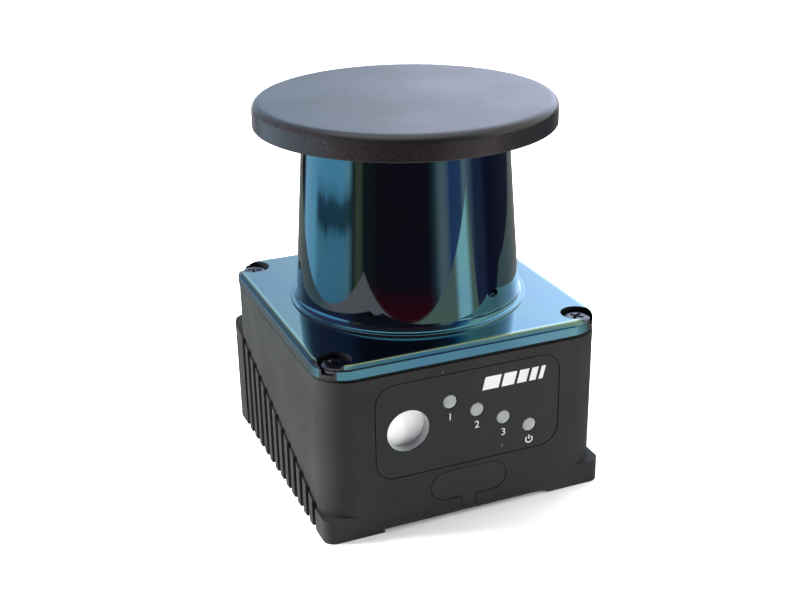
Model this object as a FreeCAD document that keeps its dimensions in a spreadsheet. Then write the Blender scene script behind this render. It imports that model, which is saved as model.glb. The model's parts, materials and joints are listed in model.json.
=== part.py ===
import FreeCAD, Part
import os
import re
import Sketcher

# Compact two-dimensional laser scanner: a square cast base with cooling fins, a mirror-coated
# window moulding (flange and tapered dome in one piece), a flat round cap and, inside, a motor
# that spins a 45 degree mirror under a fixed laser and receiver.
#
# Frame: +Z up, origin at the centre of the underside, front panel facing -Y, fins facing +X and -X.
# All lengths are millimetres.

DIMENSIONS = {
    # how far a cutting tool reaches past the face that it cuts, and a boss into the wall that it grows from
    "spare": 1.0,
    # cast base
    "foot_width": 80.0,
    "foot_radius": 3.0,
    "foot_height": 6.5,
    "foot_length": 16.0,
    "foot_reach": 8.35,
    "foot_step": 1.0,
    "body_width": 78.8,
    "body_radius": 9.0,
    "body_top": 44.6,
    "wall": 4.0,
    "front_wall": 3.6,
    "cavity_radius": 5.0,
    "floor_top": 5.0,
    "rail_width": 4.0,
    "corner_post_radius": 5.5,
    "mount_hole_radius": 1.65,
    "mount_hole_depth": 8.0,
    "thread_runout": 0.4,
    # cooling fins: a band whose top edge climbs towards the rear, cut by upright slots
    "fin_pitch": 5.0,
    "fin_gap": 2.5,
    "fin_first_gap": -30.4,
    "fin_depth": 1.6,
    "fin_low": 7.0,
    "fin_slope": 0.35,
    "fin_slot_rise": 0.6,
    "rear_block_width": 10.0,
    # flange, gasket and screws
    "gasket_thickness": 0.4,
    "gasket_width": 3.6,
    "gasket_inset": 0.3,
    "flange_width": 79.2,
    "flange_radius": 9.2,
    "flange_bottom": 45.0,
    "flange_thickness": 4.0,
    "flange_bevel": 1.0,
    "flange_screw_pitch": 68.0,
    "flange_screw_seat": 46.4,
    "counterbore_radius": 4.3,
    "flange_hole_radius": 2.3,
    "screw_clearance": 0.05,
    "flange_screw_radius": 1.95,
    "flange_screw_length": 14.0,
    "flange_screw_head_radius": 3.6,
    "flange_screw_head_height": 1.7,
    "cross_recess_length": 3.8,
    "cross_recess_width": 0.9,
    "cross_recess_depth": 1.0,
    # dome of the window: outer radius falls with height
    "dome_foot_radius": 30.8,
    "dome_foot_height": 48.0,
    "dome_top": 98.4,
    "dome_taper": 0.0726,
    "dome_wall": 2.6,
    "ring_radius": 32.4,
    "ring_height": 0.5,
    "flare_height": 2.6,
    "flare_width": 0.9,
    # cap
    "cap_radius": 40.0,
    "cap_bottom": 97.0,
    "cap_top": 103.5,
    "cap_rounding": 2.3,
    "cap_pocket_radius": 23.2,
    "cap_pocket_top": 101.4,
    "cap_groove_top": 99.2,
    "cap_groove_inner": 24.4,
    "cap_groove_outer": 27.5,
    # front overlay and lights
    "label_width": 52.2,
    "label_bottom": 15.15,
    "label_height": 26.85,
    "label_radius": 5.5,
    "label_recess": 0.4,
    "label_thickness": 0.35,
    "label_gap": 0.25,
    "led_first_across": -5.5,
    "led_first_height": 33.85,
    "led_step_across": 7.65,
    "led_step_down": 3.88,
    "pipe_radius": 1.95,
    "pipe_flange_radius": 2.6,
    "light_flange": 0.8,
    "pipe_front": 0.2,
    "pipe_length": 5.4,
    "light_clearance": 0.05,
    "status_across": -17.0,
    "status_height": 28.1,
    "status_tube_radius": 6.3,
    "status_tube_bore": 5.75,
    "status_flange_radius": 7.0,
    "status_front": 0.6,
    "status_length": 4.6,
    "status_depth": 3.6,
    "diffuser_thickness": 1.2,
    # service port cover
    "cover_width": 22.0,
    "cover_height": 8.6,
    "cover_centre": 9.55,
    "cover_thickness": 1.6,
    "cover_gap": 0.15,
    "pill_flat": 0.02,
    "cover_stem_width": 4.3,
    "cover_foot": 2.1,
    "cover_plug_width": 14.8,
    "cover_plug_height": 4.9,
    "cover_plug_depth": 1.0,
    "cover_plug_radius": 1.2,
    "port_width": 15.6,
    "port_height": 5.8,
    "port_radius": 1.5,
    "anchor_thickness": 0.95,
    "anchor_length": 7.4,
    "anchor_gap": 0.05,
    "anchor_peg_radius": 1.4,
    "anchor_peg_inset": 5.8,
    "anchor_head_radius": 1.9,
    "anchor_head_height": 0.8,
    "usb_width": 7.6,
    "usb_height": 2.7,
    "usb_length": 5.5,
    "usb_wall": 0.35,
    "usb_corner": 0.6,
    "usb_back": 1.0,
    "usb_overhang": 0.7,
    "usb_tongue_width": 4.56,
    "usb_tongue_length": 4.0,
    "usb_tongue": 0.7,
    # main board
    "board_thickness": 1.6,
    "board_bottom": 6.6,
    "board_width": 48.0,
    "board_front": 36.2,
    "board_rear": 27.0,
    "board_radius": 1.5,
    "board_post_radius": 2.8,
    "board_post_across": 20.5,
    "board_post_front": -20.0,
    "board_post_rear": 22.0,
    "board_screw_radius": 1.2,
    "board_screw_length": 4.4,
    "board_screw_head_radius": 2.2,
    "board_screw_head_height": 1.4,
    "chip_width": 14.0,
    "chip_height": 1.4,
    "chip_across": -9.0,
    "chip_along": -4.0,
    "inductor_width": 10.0,
    "inductor_height": 4.5,
    "inductor_radius": 2.2,
    "inductor_across": 12.0,
    "inductor_along": -12.0,
    "capacitor_radius": 4.0,
    "capacitor_height": 9.5,
    "capacitor_across": 12.0,
    "capacitor_along": 0.5,
    "capacitor_pitch": 9.5,
    "socket_width": 11.0,
    "socket_depth": 3.2,
    "socket_height": 2.6,
    "flex_width": 8.0,
    "flex_thickness": 0.3,
    "flex_along": 21.75,
    "flex_top": 98.6,
    "flex_seat": 1.0,
    "flex_slot_length": 9.2,
    "flex_slot_width": 1.6,
    "flex_tail_length": 4.0,
    "header_width": 12.0,
    "header_depth": 2.8,
    "header_height": 3.8,
    "header_along": 25.4,
    # indicator board behind the front wall
    "panel_board_width": 50.0,
    "panel_board_bottom": 18.0,
    "panel_board_height": 20.6,
    "panel_board_front": 33.0,
    "panel_tab_across": 15.0,
    "panel_tab_width": 10.0,
    "panel_tab_bottom": 9.8,
    "panel_socket_width": 12.6,
    "panel_socket_depth": 3.8,
    "panel_socket_height": 4.0,
    "panel_post_radius": 2.4,
    "panel_post_across": 22.4,
    "panel_post_high": 36.0,
    "panel_post_low": 20.0,
    "panel_screw_length": 2.8,
    "led_width": 2.0,
    "led_height": 1.2,
    # chassis plate
    "chassis_bottom": 40.0,
    "chassis_thickness": 2.5,
    "chassis_width": 70.0,
    "chassis_front": -30.5,
    "chassis_rear": 34.9,
    "chassis_radius": 5.0,
    "chassis_notch": 5.9,
    "chassis_post_radius": 3.5,
    "chassis_post_across": 28.0,
    "chassis_post_along": 24.0,
    "chassis_screw_radius": 1.45,
    "chassis_screw_length": 10.0,
    "chassis_screw_head_radius": 2.75,
    "chassis_screw_head_height": 1.8,
    # motor
    "shaft_radius": 2.5,
    "shaft_bottom": 20.5,
    "shaft_top": 56.0,
    "carrier_flange_radius": 15.0,
    "carrier_top": 45.0,
    "carrier_bottom": 24.0,
    "carrier_tube_radius": 7.0,
    "carrier_bore": 4.4,
    "carrier_clearance": 0.3,
    "carrier_screw_circle": 12.0,
    "carrier_screw_radius": 1.2,
    "carrier_screw_length": 3.6,
    "carrier_screw_head_radius": 2.1,
    "carrier_screw_head_height": 1.3,
    "bearing_radius": 5.0,
    "bearing_width": 4.0,
    "bearing_upper": 40.6,
    "bearing_lower": 24.4,
    "bearing_shoulder_inner": 3.42,
    "bearing_shoulder_outer": 4.08,
    "ball_circle": 3.75,
    "ball_radius": 0.79,
    "ball_clearance": 0.03,
    "cage_inner": 3.55,
    "cage_outer": 3.95,
    "cage_height": 2.2,
    "stator_radius": 14.5,
    "stator_bottom": 30.0,
    "stator_height": 7.0,
    "slot_circle": 11.6,
    "slot_radius": 1.55,
    "slot_mouth": 0.8,
    "winding_inner": 9.8,
    "winding_outer": 13.2,
    "winding_overhang": 1.3,
    "magnet_inner": 15.0,
    "magnet_bottom": 29.5,
    "magnet_height": 8.0,
    "bell_inner": 16.5,
    "bell_radius": 18.0,
    "bell_bottom": 22.0,
    "bell_floor": 1.5,
    "bell_height": 16.5,
    "driver_radius": 20.0,
    "driver_bore": 8.0,
    "driver_bottom": 38.9,
    "driver_thickness": 1.1,
    # rotating mirror and encoder
    "hub_radius": 10.0,
    "hub_bottom": 45.5,
    "hub_height": 2.0,
    "hub_collar_radius": 6.0,
    "hub_collar_height": 3.0,
    "set_screw_radius": 0.8,
    "set_screw_length": 7.1,
    "encoder_radius": 20.5,
    "encoder_thickness": 0.6,
    "encoder_slot_circle": 18.8,
    "encoder_slot_length": 2.2,
    "encoder_slot_width": 1.6,
    "fork_width": 8.0,
    "fork_inner": 17.6,
    "fork_outer": 25.0,
    "fork_top": 51.0,
    "fork_gap_bottom": 46.8,
    "fork_gap_top": 48.9,
    "fork_throat": 21.3,
    "mirror_radius": 16.5,
    "mirror_centre": 66.0,
    "mirror_thickness": 2.0,
    "pocket_radius": 4.5,
    "pocket_along": 11.5,
    "pocket_floor": 3.0,
    "pocket_depth": 15.0,
    # fixed optical head
    "spine_outer": 24.5,
    "spine_inner": 22.6,
    "spine_angle": 50.0,
    "spine_foot_outer": 30.0,
    "spine_foot_inner": 23.2,
    "spine_foot_angle": 64.0,
    "spine_foot_height": 2.2,
    "spine_screw_circle": 27.0,
    "spine_screw_half_angle": 26.0,
    "bracket_screw_length": 3.3,
    "head_ring_bottom": 88.0,
    "head_ring_thickness": 2.0,
    "barrel_radius": 15.6,
    "barrel_bore": 13.6,
    "barrel_bottom": 87.0,
    "barrel_height": 7.5,
    "barrel_flange_radius": 19.4,
    "barrel_flange_thickness": 1.4,
    "lens_radius": 13.6,
    "lens_bottom": 88.0,
    "lens_height": 4.5,
    "lens_curve": 26.0,
    "laser_radius": 4.4,
    "laser_bottom": 87.6,
    "laser_bore": 3.2,
    "laser_bore_depth": 3.0,
    "collimator_height": 2.2,
    "collimator_curve": 5.0,
    "receiver_bottom": 98.6,
    "receiver_radius": 21.0,
    "receiver_thickness": 1.4,
    "detector_radius": 2.6,
    "detector_height": 2.6,
    "detector_along": -9.0,
    "standoff_radius": 1.7,
    "standoff_circle": 17.3,
    "receiver_screw_radius": 0.9,
    "receiver_screw_length": 3.0,
    "receiver_screw_head_radius": 1.7,
    "receiver_screw_head_height": 1.0,
    # rear connector, M12 thread
    "connector_height": 22.0,
    "connector_thread_radius": 6.0,
    "connector_thread_length": 8.0,
    "connector_flange_radius": 9.0,
    "connector_flange_thickness": 1.8,
    "connector_bore": 4.9,
    "connector_insert_depth": 5.0,
    "connector_nut_radius": 9.2,
    "connector_nut_thickness": 2.5,
    "connector_shank_length": 8.6,
    "connector_shank_radius": 6.15,
    "connector_hole_radius": 6.2,
    "connector_seal_radius": 0.6,
    "connector_seal_circle": 7.4,
    "connector_pin_radius": 0.4,
    "connector_pin_circle": 2.8,
    "connector_pin_reach": 3.6,
    "connector_pin_tail": 1.4,
    "wire_radius": 0.6,
    "wire_bend": 3.4,
    "wire_pitch": 2.6,
}

FIN_GAPS = 13
STATOR_SLOTS = 9
BALLS = 8
ENCODER_SLOTS = 24
LIGHTS = 4
CONNECTOR_PINS = 8
WIRES = 4

# directions of the first of several pieces round an axis, in degrees
FIRST_OF_THREE = 30.0
FIRST_BALL = 10.0
FIRST_PIN = 22.5

# share of a screw head that its round socket takes: across, and below the socket's floor
SOCKET_SHARE = 0.45
SOCKET_FLOOR = 0.4

# half the side of a square sketch before its sizes are set
START = 9.0
TOLERANCE = 1e-6

doc = FreeCAD.newDocument("lidar_scanner_module")
sheet = doc.addObject("Spreadsheet::Sheet", "dim")
for line, (alias, value) in enumerate(DIMENSIONS.items(), start=1):
    sheet.set(f"A{line}", alias)
    sheet.set(f"B{line}", str(value))
    sheet.setAlias(f"B{line}", alias)
doc.recompute()

nodes = {}
UPRIGHT = FreeCAD.Rotation(FreeCAD.Vector(1, 0, 0), 90)
SIDEWAYS = FreeCAD.Rotation(FreeCAD.Vector(0, 1, 0), 90)


# ---------------------------------------------------------------- building blocks

def expression(text):
    """A formula in alias words becomes one that reads the sheet."""
    def qualify(word):
        return f"dim.{word.group()}" if word.group() in DIMENSIONS else word.group()
    return re.sub(r"[a-z][a-z0-9_]*", qualify, str(text))


def bind(item, **sizes):
    for name, formula in sizes.items():
        item.setExpression(name, expression(formula))
    return item


def put(item, at, rotation=None):
    """Place an object: 'at' holds three formulas."""
    item.Placement = FreeCAD.Placement(FreeCAD.Vector(0, 0, 0), rotation or FreeCAD.Rotation())
    for axis, formula in zip("xyz", at):
        item.setExpression(f"Placement.Base.{axis}", expression(formula))
    return item


def cylinder(name, radius, height, at=(0, 0, 0), rotation=None, angle=None):
    item = doc.addObject("Part::Cylinder", name)
    bind(item, Radius=radius, Height=height)
    if angle is not None:
        bind(item, Angle=angle)
    return put(item, at, rotation)


def box(name, length, width, height, at):
    """A box standing on 'at', centred on it in X and Y."""
    item = doc.addObject("Part::Box", name)
    bind(item, Length=length, Width=width, Height=height)
    return put(item, (f"({at[0]}) - ({length}) / 2", f"({at[1]}) - ({width}) / 2", at[2]))


def sphere(name, radius, at):
    item = doc.addObject("Part::Sphere", name)
    bind(item, Radius=radius)
    return put(item, at)


def torus(name, circle, radius, at, rotation=None, angle=None):
    item = doc.addObject("Part::Torus", name)
    bind(item, Radius1=circle, Radius2=radius)
    if angle is not None:
        bind(item, Angle3=angle)
    return put(item, at, rotation)


def cone(name, low_radius, high_radius, height, at):
    item = doc.addObject("Part::Cone", name)
    bind(item, Radius1=low_radius, Radius2=high_radius, Height=height)
    return put(item, at)


def fuse(name, *parts):
    item = doc.addObject("Part::MultiFuse", name)
    item.Shapes = list(parts)
    item.Refine = True
    return item


def cut(name, base, *tools):
    item = doc.addObject("Part::Cut", name)
    item.Base = base
    item.Tool = tools[0] if len(tools) == 1 else fuse(name + "_tools", *tools)
    item.Refine = True
    return item


def common(name, first, second):
    item = doc.addObject("Part::Common", name)
    item.Base = first
    item.Tool = second
    return item


def group(name, parts):
    item = doc.addObject("Part::Compound", name)
    item.Links = list(parts)
    return item


def node(name, item):
    item.Label = name
    nodes[name] = item
    return item


def tube(name, outer, inner, height, at, rotation=None):
    shell = cylinder(name + "_outside", outer, height, at, rotation)
    bore = cylinder(name + "_bore", inner, height, at, rotation)
    return cut(name, shell, bore)


def upright_edges(shape):
    """Names of the straight edges that run along the shape's own Z."""
    found = []
    for index, edge in enumerate(shape.Edges, start=1):
        low, high = edge.Vertexes[0].Point, edge.Vertexes[-1].Point
        level = abs(low.x - high.x) < TOLERANCE and abs(low.y - high.y) < TOLERANCE
        if level and abs(low.z - high.z) > TOLERANCE:
            found.append(f"Edge{index}")
    return found


def top_edges(shape):
    """Names of the edges that bound the shape's highest flat face."""
    top = shape.BoundBox.ZMax
    found = []
    for index, edge in enumerate(shape.Edges, start=1):
        if edge.BoundBox.ZMin > top - TOLERANCE:
            found.append(f"Edge{index}")
    return found


def rounded_block(name, length, width, height, radius, at, rotation=None, bevel=None):
    """A rectangular sketch centred on 'at', padded along its own Z, with round upright edges."""
    body = doc.addObject("PartDesign::Body", name)
    plane = [item for item in body.Origin.OriginFeatures if item.Role == "XY_Plane"][0]
    sketch = body.newObject("Sketcher::SketchObject", name + "_outline")
    sketch.AttachmentSupport = [(plane, "")]
    sketch.MapMode = "FlatFace"
    corners = [FreeCAD.Vector(x * START, y * START, 0) for x, y in ((-1, -1), (1, -1), (1, 1), (-1, 1))]
    for start in range(4):
        sketch.addGeometry(Part.LineSegment(corners[start], corners[(start + 1) % 4]), False)
    for side in range(4):
        sketch.addConstraint(Sketcher.Constraint("Coincident", side, 2, (side + 1) % 4, 1))
        sketch.addConstraint(Sketcher.Constraint("Vertical" if side % 2 else "Horizontal", side))
    sketch.addConstraint(Sketcher.Constraint("Symmetric", 0, 1, 1, 2, -1, 1))
    across = sketch.addConstraint(Sketcher.Constraint("DistanceX", 0, 1, 0, 2, 2 * START))
    along = sketch.addConstraint(Sketcher.Constraint("DistanceY", 1, 1, 1, 2, 2 * START))
    sketch.setExpression(f"Constraints[{across}]", expression(length))
    sketch.setExpression(f"Constraints[{along}]", expression(width))
    pad = body.newObject("PartDesign::Pad", name + "_pad")
    pad.Profile = sketch
    bind(pad, Length=height)
    doc.recompute()
    fillet = body.newObject("PartDesign::Fillet", name + "_corners")
    fillet.Base = (pad, upright_edges(pad.Shape))
    bind(fillet, Radius=radius)
    body.Tip = fillet
    if bevel is not None:
        doc.recompute()
        chamfer = body.newObject("PartDesign::Chamfer", name + "_bevel")
        chamfer.Base = (fillet, top_edges(fillet.Shape))
        bind(chamfer, Size=bevel)
        body.Tip = chamfer
    return put(body, at, rotation)


def screw(name, radius, length, head_radius, head_height, at, recess="round"):
    """A screw whose head stands on 'at'; the shank hangs below it."""
    across, along, seat = at
    shank = cylinder(name + "_shank", radius, length, (across, along, f"({seat}) - ({length})"))
    head = cylinder(name + "_head", head_radius, head_height, at)
    floor = f"({seat}) + ({head_height}) - cross_recess_depth"
    if recess == "cross":
        first = box(name + "_slot_a", "cross_recess_length", "cross_recess_width", "2 * cross_recess_depth",
                    (across, along, floor))
        second = box(name + "_slot_b", "cross_recess_width", "cross_recess_length", "2 * cross_recess_depth",
                     (across, along, floor))
        drive = fuse(name + "_drive", first, second)
    else:
        drive = cylinder(name + "_drive", f"({head_radius}) * {SOCKET_SHARE}", "2 * cross_recess_depth",
                         (across, along, f"({seat}) + ({head_height}) * {SOCKET_FLOOR}"))
    return cut(name, fuse(name + "_blank", shank, head), drive)


def radial_box(name, length, width, height, inner, turn, low):
    """A box that points away from the Z axis in the direction 'turn', from the radius 'inner' outwards."""
    item = doc.addObject("Part::Box", name)
    bind(item, Length=length, Width=width, Height=height)
    at = (f"({inner}) * cos({turn}) + ({width}) / 2 * sin({turn})",
          f"({inner}) * sin({turn}) - ({width}) / 2 * cos({turn})", low)
    return put(item, at, FreeCAD.Rotation(FreeCAD.Vector(0, 0, 1), turn))


def turns_of(count, start=0.0):
    """Evenly spaced directions about the Z axis, in degrees."""
    return [start + 360.0 * index / count for index in range(count)]


def corners_of(across, along):
    """The four corners of a rectangle, as formulas."""
    return [(f"{sx} * ({across})", f"{sy} * ({along})") for sx in (-1, 1) for sy in (-1, 1)]


def on_circle(count, circle, start=0.0):
    """Evenly spaced points on a circle about the Z axis, as formulas."""
    return [(f"({circle}) * cos({turn})", f"({circle}) * sin({turn})") for turn in turns_of(count, start)]


# ---------------------------------------------------------------- places shared by several pieces

FRONT = "-foot_width / 2"
REAR = "body_width / 2"
FLANGE_TOP = "flange_bottom + flange_thickness"
BOARD_TOP = "board_bottom + board_thickness"
CHASSIS_TOP = "chassis_bottom + chassis_thickness"
FLANGE_SCREWS = corners_of("flange_screw_pitch / 2", "flange_screw_pitch / 2")
CHASSIS_POSTS = corners_of("chassis_post_across", "chassis_post_along")
BOARD_POSTS = [(f"{side} * board_post_across", along)
               for side in (-1, 1) for along in ("board_post_front", "board_post_rear")]
PANEL_POSTS = [("-panel_post_across", "panel_post_high"), ("panel_post_across", "panel_post_high"),
               ("-panel_post_across", "panel_post_low")]
LIGHT_PLACES = [(f"led_first_across + {n} * led_step_across", f"led_first_height - {n} * led_step_down")
                for n in range(LIGHTS)]
CARRIER_SCREWS = on_circle(3, "carrier_screw_circle", FIRST_OF_THREE)
STANDOFFS = on_circle(3, "standoff_circle", FIRST_OF_THREE)
SPINE_SCREWS = [(f"spine_screw_circle * cos(90 + {side} * spine_screw_half_angle)",
                 f"spine_screw_circle * sin(90 + {side} * spine_screw_half_angle)") for side in (-1, 1)]


def dome_radius(height):
    """Outer radius of the tapered dome at a height above the underside."""
    return f"(dome_foot_radius - dome_taper * (({height}) - dome_foot_height))"


# ---------------------------------------------------------------- cast base and its fittings

def fin_slots():
    """Upright slots, round at the top, that cut the fin band on both sides into fins."""
    tools = []
    for index in range(FIN_GAPS):
        along = f"fin_first_gap + {index} * fin_pitch"
        top = f"(fin_low + fin_slope * ({along} + foot_width / 2 - foot_reach) + fin_slot_rise - fin_gap / 2)"
        for side in (-1, 1):
            name = f"fin_slot_{index}_{'left' if side < 0 else 'right'}"
            across = f"{side} * (foot_width / 2 + spare)"
            tools.append(box(name, "2 * (fin_depth + spare)", "fin_gap", f"{top} + spare",
                             (across, along, "-spare")))
            start = f"{across} - fin_depth - spare"
            tools.append(cylinder(name + "_top", "fin_gap / 2", "2 * (fin_depth + spare)",
                                  (start, along, top), SIDEWAYS))
    return tools


def fin_band():
    """Foot outline, cut down to front feet and to a band that climbs towards the rear."""
    outline = rounded_block("skirt_outline", "foot_width", "foot_width", "body_top", "foot_radius", (0, 0, 0))
    wedge = doc.addObject("Part::Wedge", "skirt_slope")
    bind(wedge, Xmin="-foot_width / 2", Xmax="foot_width / 2", X2min="-foot_width / 2",
         X2max="foot_width / 2",
         Ymin="-foot_width / 2 + foot_reach", Ymax="foot_width / 2", Zmin=0, Z2min=0, Zmax="fin_low",
         Z2max="fin_low + fin_slope * (foot_width - foot_reach)")
    feet = box("front_feet", "foot_width", "foot_reach + spare", "foot_height",
               (0, "(foot_reach + spare - foot_width) / 2", 0))
    band = common("skirt", outline, fuse("skirt_limits", wedge, feet))
    rear = box("skirt_rear_gap", "foot_width - 2 * rear_block_width", "foot_width - body_width", "body_top",
               (0, "foot_width / 2", 0))
    return cut("fin_band", band, rear)


def t_shape(name, pill_width, pill_height, stem_width, stem_bottom, depth, front):
    """Pill with a stem that runs down from it, front face at 'front', cut 'depth' deep."""
    pill = rounded_block(name + "_pill", pill_width, pill_height, depth, f"({pill_height}) / 2 - pill_flat",
                         (0, f"({front}) + ({depth})", "cover_centre"), UPRIGHT)
    stem = box(name + "_stem", stem_width, depth, f"cover_centre - ({stem_bottom})",
               (0, f"({front}) + ({depth}) / 2", stem_bottom))
    return fuse(name, pill, stem)


def lower_housing():
    depth = "(foot_width + body_width) / 2"
    middle = "(body_width - foot_width) / 4"
    shell = rounded_block("body_outline", "body_width", depth, "body_top - foot_step", "body_radius",
                          (0, middle, "foot_step"))
    inner_front = "(foot_width / 2 - front_wall)"
    inner_rear = "(body_width / 2 - wall)"
    cavity = rounded_block("body_cavity", "body_width - 2 * wall", f"{inner_front} + {inner_rear}",
                           "body_top",
                           "cavity_radius", (0, f"({inner_rear} - {inner_front}) / 2", "floor_top"))
    posts = [cylinder("corner_post", "corner_post_radius", "body_top - foot_step", (*spot, "foot_step"))
             for spot in FLANGE_SCREWS]
    corner_posts = common("corner_posts", fuse("corner_post_set", *posts), shell)
    chassis_posts = [cylinder("chassis_post", "chassis_post_radius", "chassis_bottom - floor_top + spare",
                              (*spot, "floor_top - spare")) for spot in CHASSIS_POSTS]
    board_posts = [cylinder("board_post", "board_post_radius", "board_bottom - floor_top + spare",
                            (*spot, "floor_top - spare")) for spot in BOARD_POSTS]
    panel_posts = [cylinder("panel_post", "panel_post_radius",
                            "foot_width / 2 - front_wall / 2 - panel_board_front",
                            (across, "-panel_board_front", height), UPRIGHT)
                            for across, height in PANEL_POSTS]
    hollow = cut("hollow_body", fuse("finned_body", shell, fin_band()), cavity)
    blank = fuse("housing_blank", hollow, corner_posts, *chassis_posts, *board_posts, *panel_posts)
    under = [box("underside_step", "foot_width - 2 * foot_length", "foot_width + 2 * spare",
                 "foot_step + spare", (0, 0, "-spare")),
             box("underside_middle", "foot_width - 2 * rail_width", "foot_width - 2 * foot_reach",
                 "foot_step + spare", (0, 0, "-spare"))]
    holes = []
    for spot in FLANGE_SCREWS:
        holes.append(cylinder("flange_thread", "flange_screw_radius + screw_clearance", "flange_screw_length",
                              (*spot, "flange_screw_seat - flange_screw_length - thread_runout")))
        holes.append(cylinder("mount_thread", "mount_hole_radius", "mount_hole_depth", (*spot, 0)))
    for spot in CHASSIS_POSTS:
        holes.append(cylinder("chassis_thread", "chassis_screw_radius", "chassis_screw_length",
                              (*spot, "chassis_bottom - chassis_screw_length")))
    for spot in BOARD_POSTS:
        holes.append(cylinder("board_thread", "board_screw_radius", "board_screw_length",
                              (*spot, "board_bottom - board_screw_length + board_thickness")))
    for across, height in PANEL_POSTS:
        holes.append(cylinder("panel_thread", "receiver_screw_radius", "receiver_screw_length",
                              (across, "-panel_board_front", height), UPRIGHT))
    for across, height in LIGHT_PLACES:
        holes.append(cylinder("pipe_hole", "pipe_radius + light_clearance", "front_wall + 2 * spare",
                              (across, f"{FRONT} + front_wall + spare", height), UPRIGHT))
    holes.append(cylinder("status_hole", "status_tube_radius + light_clearance",
                          "front_wall + 2 * spare",
                          ("status_across", f"{FRONT} + front_wall + spare", "status_height"), UPRIGHT))
    holes.append(rounded_block("label_recess_tool", "label_width", "label_height", "label_recess + spare",
                               "label_radius",
                               (0, f"{FRONT} + label_recess", "label_bottom + label_height / 2"), UPRIGHT))
    holes.append(t_shape("cover_recess", "cover_width", "cover_height", "cover_stem_width", "0",
                         "cover_thickness + spare", f"{FRONT} - spare"))
    holes.append(rounded_block("port_opening", "port_width", "port_height", "front_wall + spare",
                               "port_radius",
                               (0, f"{FRONT} + front_wall + spare / 2", "cover_centre"), UPRIGHT))
    holes.append(box("strap_groove", "cover_stem_width", "anchor_length + cover_gap + spare",
                     "anchor_thickness + cover_gap + spare",
                     (0, f"{FRONT} + (anchor_length + cover_gap - spare) / 2", "foot_step - spare")))
    holes.append(cylinder("strap_peg_hole", "anchor_peg_radius + screw_clearance", "floor_top",
                          (0, f"{FRONT} + anchor_peg_inset", 0)))
    holes.append(cylinder("connector_hole", "connector_hole_radius", "wall + 2 * spare",
                          (0, "body_width / 2 + spare", "connector_height"), UPRIGHT))
    slotted = cut("slotted_housing", blank, *fin_slots())
    return cut("lower_housing", slotted, *under, *holes)


def flange_gasket():
    depth = "(flange_width - 2 * gasket_inset)"
    plate = rounded_block("gasket_plate", depth, depth, "gasket_thickness",
                          "flange_radius - gasket_inset",
                          (0, 0, "body_top"))
    window = rounded_block("gasket_window", f"{depth} - 2 * gasket_width", f"{depth} - 2 * gasket_width",
                           "gasket_thickness + 2 * spare", "cavity_radius", (0, 0, "body_top - spare"))
    ears = fuse("gasket_ears", *[cylinder("gasket_ear", "corner_post_radius", "gasket_thickness",
                                          (*spot, "body_top")) for spot in FLANGE_SCREWS])
    holes = [cylinder("gasket_hole", "flange_hole_radius", "gasket_thickness + 2 * spare",
                      (*spot, "body_top - spare")) for spot in FLANGE_SCREWS]
    frame = cut("gasket_frame", plate, window)
    return cut("flange_gasket", fuse("gasket_blank", frame, common("gasket_corners", ears, plate)), *holes)


def optical_window():
    """Square flange, bright step ring, short flare and tapered dome: one moulding, open at the top."""
    flange = rounded_block("flange_plate", "flange_width", "flange_width", "flange_thickness",
                           "flange_radius",
                           (0, 0, "flange_bottom"), bevel="flange_bevel")
    height = "dome_top - flange_bottom"
    dome = cone("dome_outside", dome_radius("flange_bottom"), dome_radius("dome_top"), height,
                (0, 0, "flange_bottom"))
    ring = cylinder("dome_ring", "ring_radius", "ring_height", (0, 0, FLANGE_TOP))
    flare_foot = f"{FLANGE_TOP} + ring_height"
    flare = cone("dome_flare", f"{dome_radius(flare_foot)} + flare_width",
                 dome_radius(f"{flare_foot} + flare_height"), "flare_height", (0, 0, flare_foot))
    bore = cone("dome_inside", f"{dome_radius('flange_bottom')} - dome_wall",
                f"{dome_radius('dome_top')} - dome_wall", height, (0, 0, "flange_bottom"))
    holes = [cylinder("flange_hole", "flange_hole_radius", "flange_thickness + 2 * spare",
                      (*spot, "flange_bottom - spare")) for spot in FLANGE_SCREWS]
    holes += [cylinder("counterbore", "counterbore_radius", "flange_thickness", (*spot, "flange_screw_seat"))
              for spot in FLANGE_SCREWS]
    return cut("optical_window", fuse("window_blank", flange, ring, flare, dome), bore, *holes)


def flange_screws():
    return group("flange_screws", [
        screw("flange_screw", "flange_screw_radius", "flange_screw_length", "flange_screw_head_radius",
              "flange_screw_head_height", (*spot, "flange_screw_seat"), recess="cross")
              for spot in FLANGE_SCREWS])


def top_cap():
    """Flat disc with a rounded upper edge, a pocket for the receiver board and a groove for the dome."""
    disc = cylinder("cap_disc", "cap_radius", "cap_top - cap_bottom", (0, 0, "cap_bottom"))
    doc.recompute()
    rounded = doc.addObject("Part::Fillet", "cap_rounded")
    rounded.Base = disc
    radius = sheet.get("cap_rounding")
    rounded.Edges = [(index, radius, radius) for index, edge in enumerate(disc.Shape.Edges, start=1)
                     if edge.BoundBox.ZMin > sheet.get("cap_top") - TOLERANCE]
    pocket = cylinder("cap_pocket", "cap_pocket_radius", "cap_pocket_top - cap_bottom + spare",
                      (0, 0, "cap_bottom - spare"))
    groove = tube("cap_groove", "cap_groove_outer", "cap_groove_inner",
                  "cap_groove_top - cap_bottom + spare", (0, 0, "cap_bottom - spare"))
    return cut("top_cap", rounded, pocket, groove)


def cap_seal():
    """Bonded seal between the dome's upper rim and the bottom of the cap's groove."""
    return tube("cap_seal", "cap_groove_outer", "cap_groove_inner", "cap_groove_top - dome_top",
                (0, 0, "dome_top"))


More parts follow.
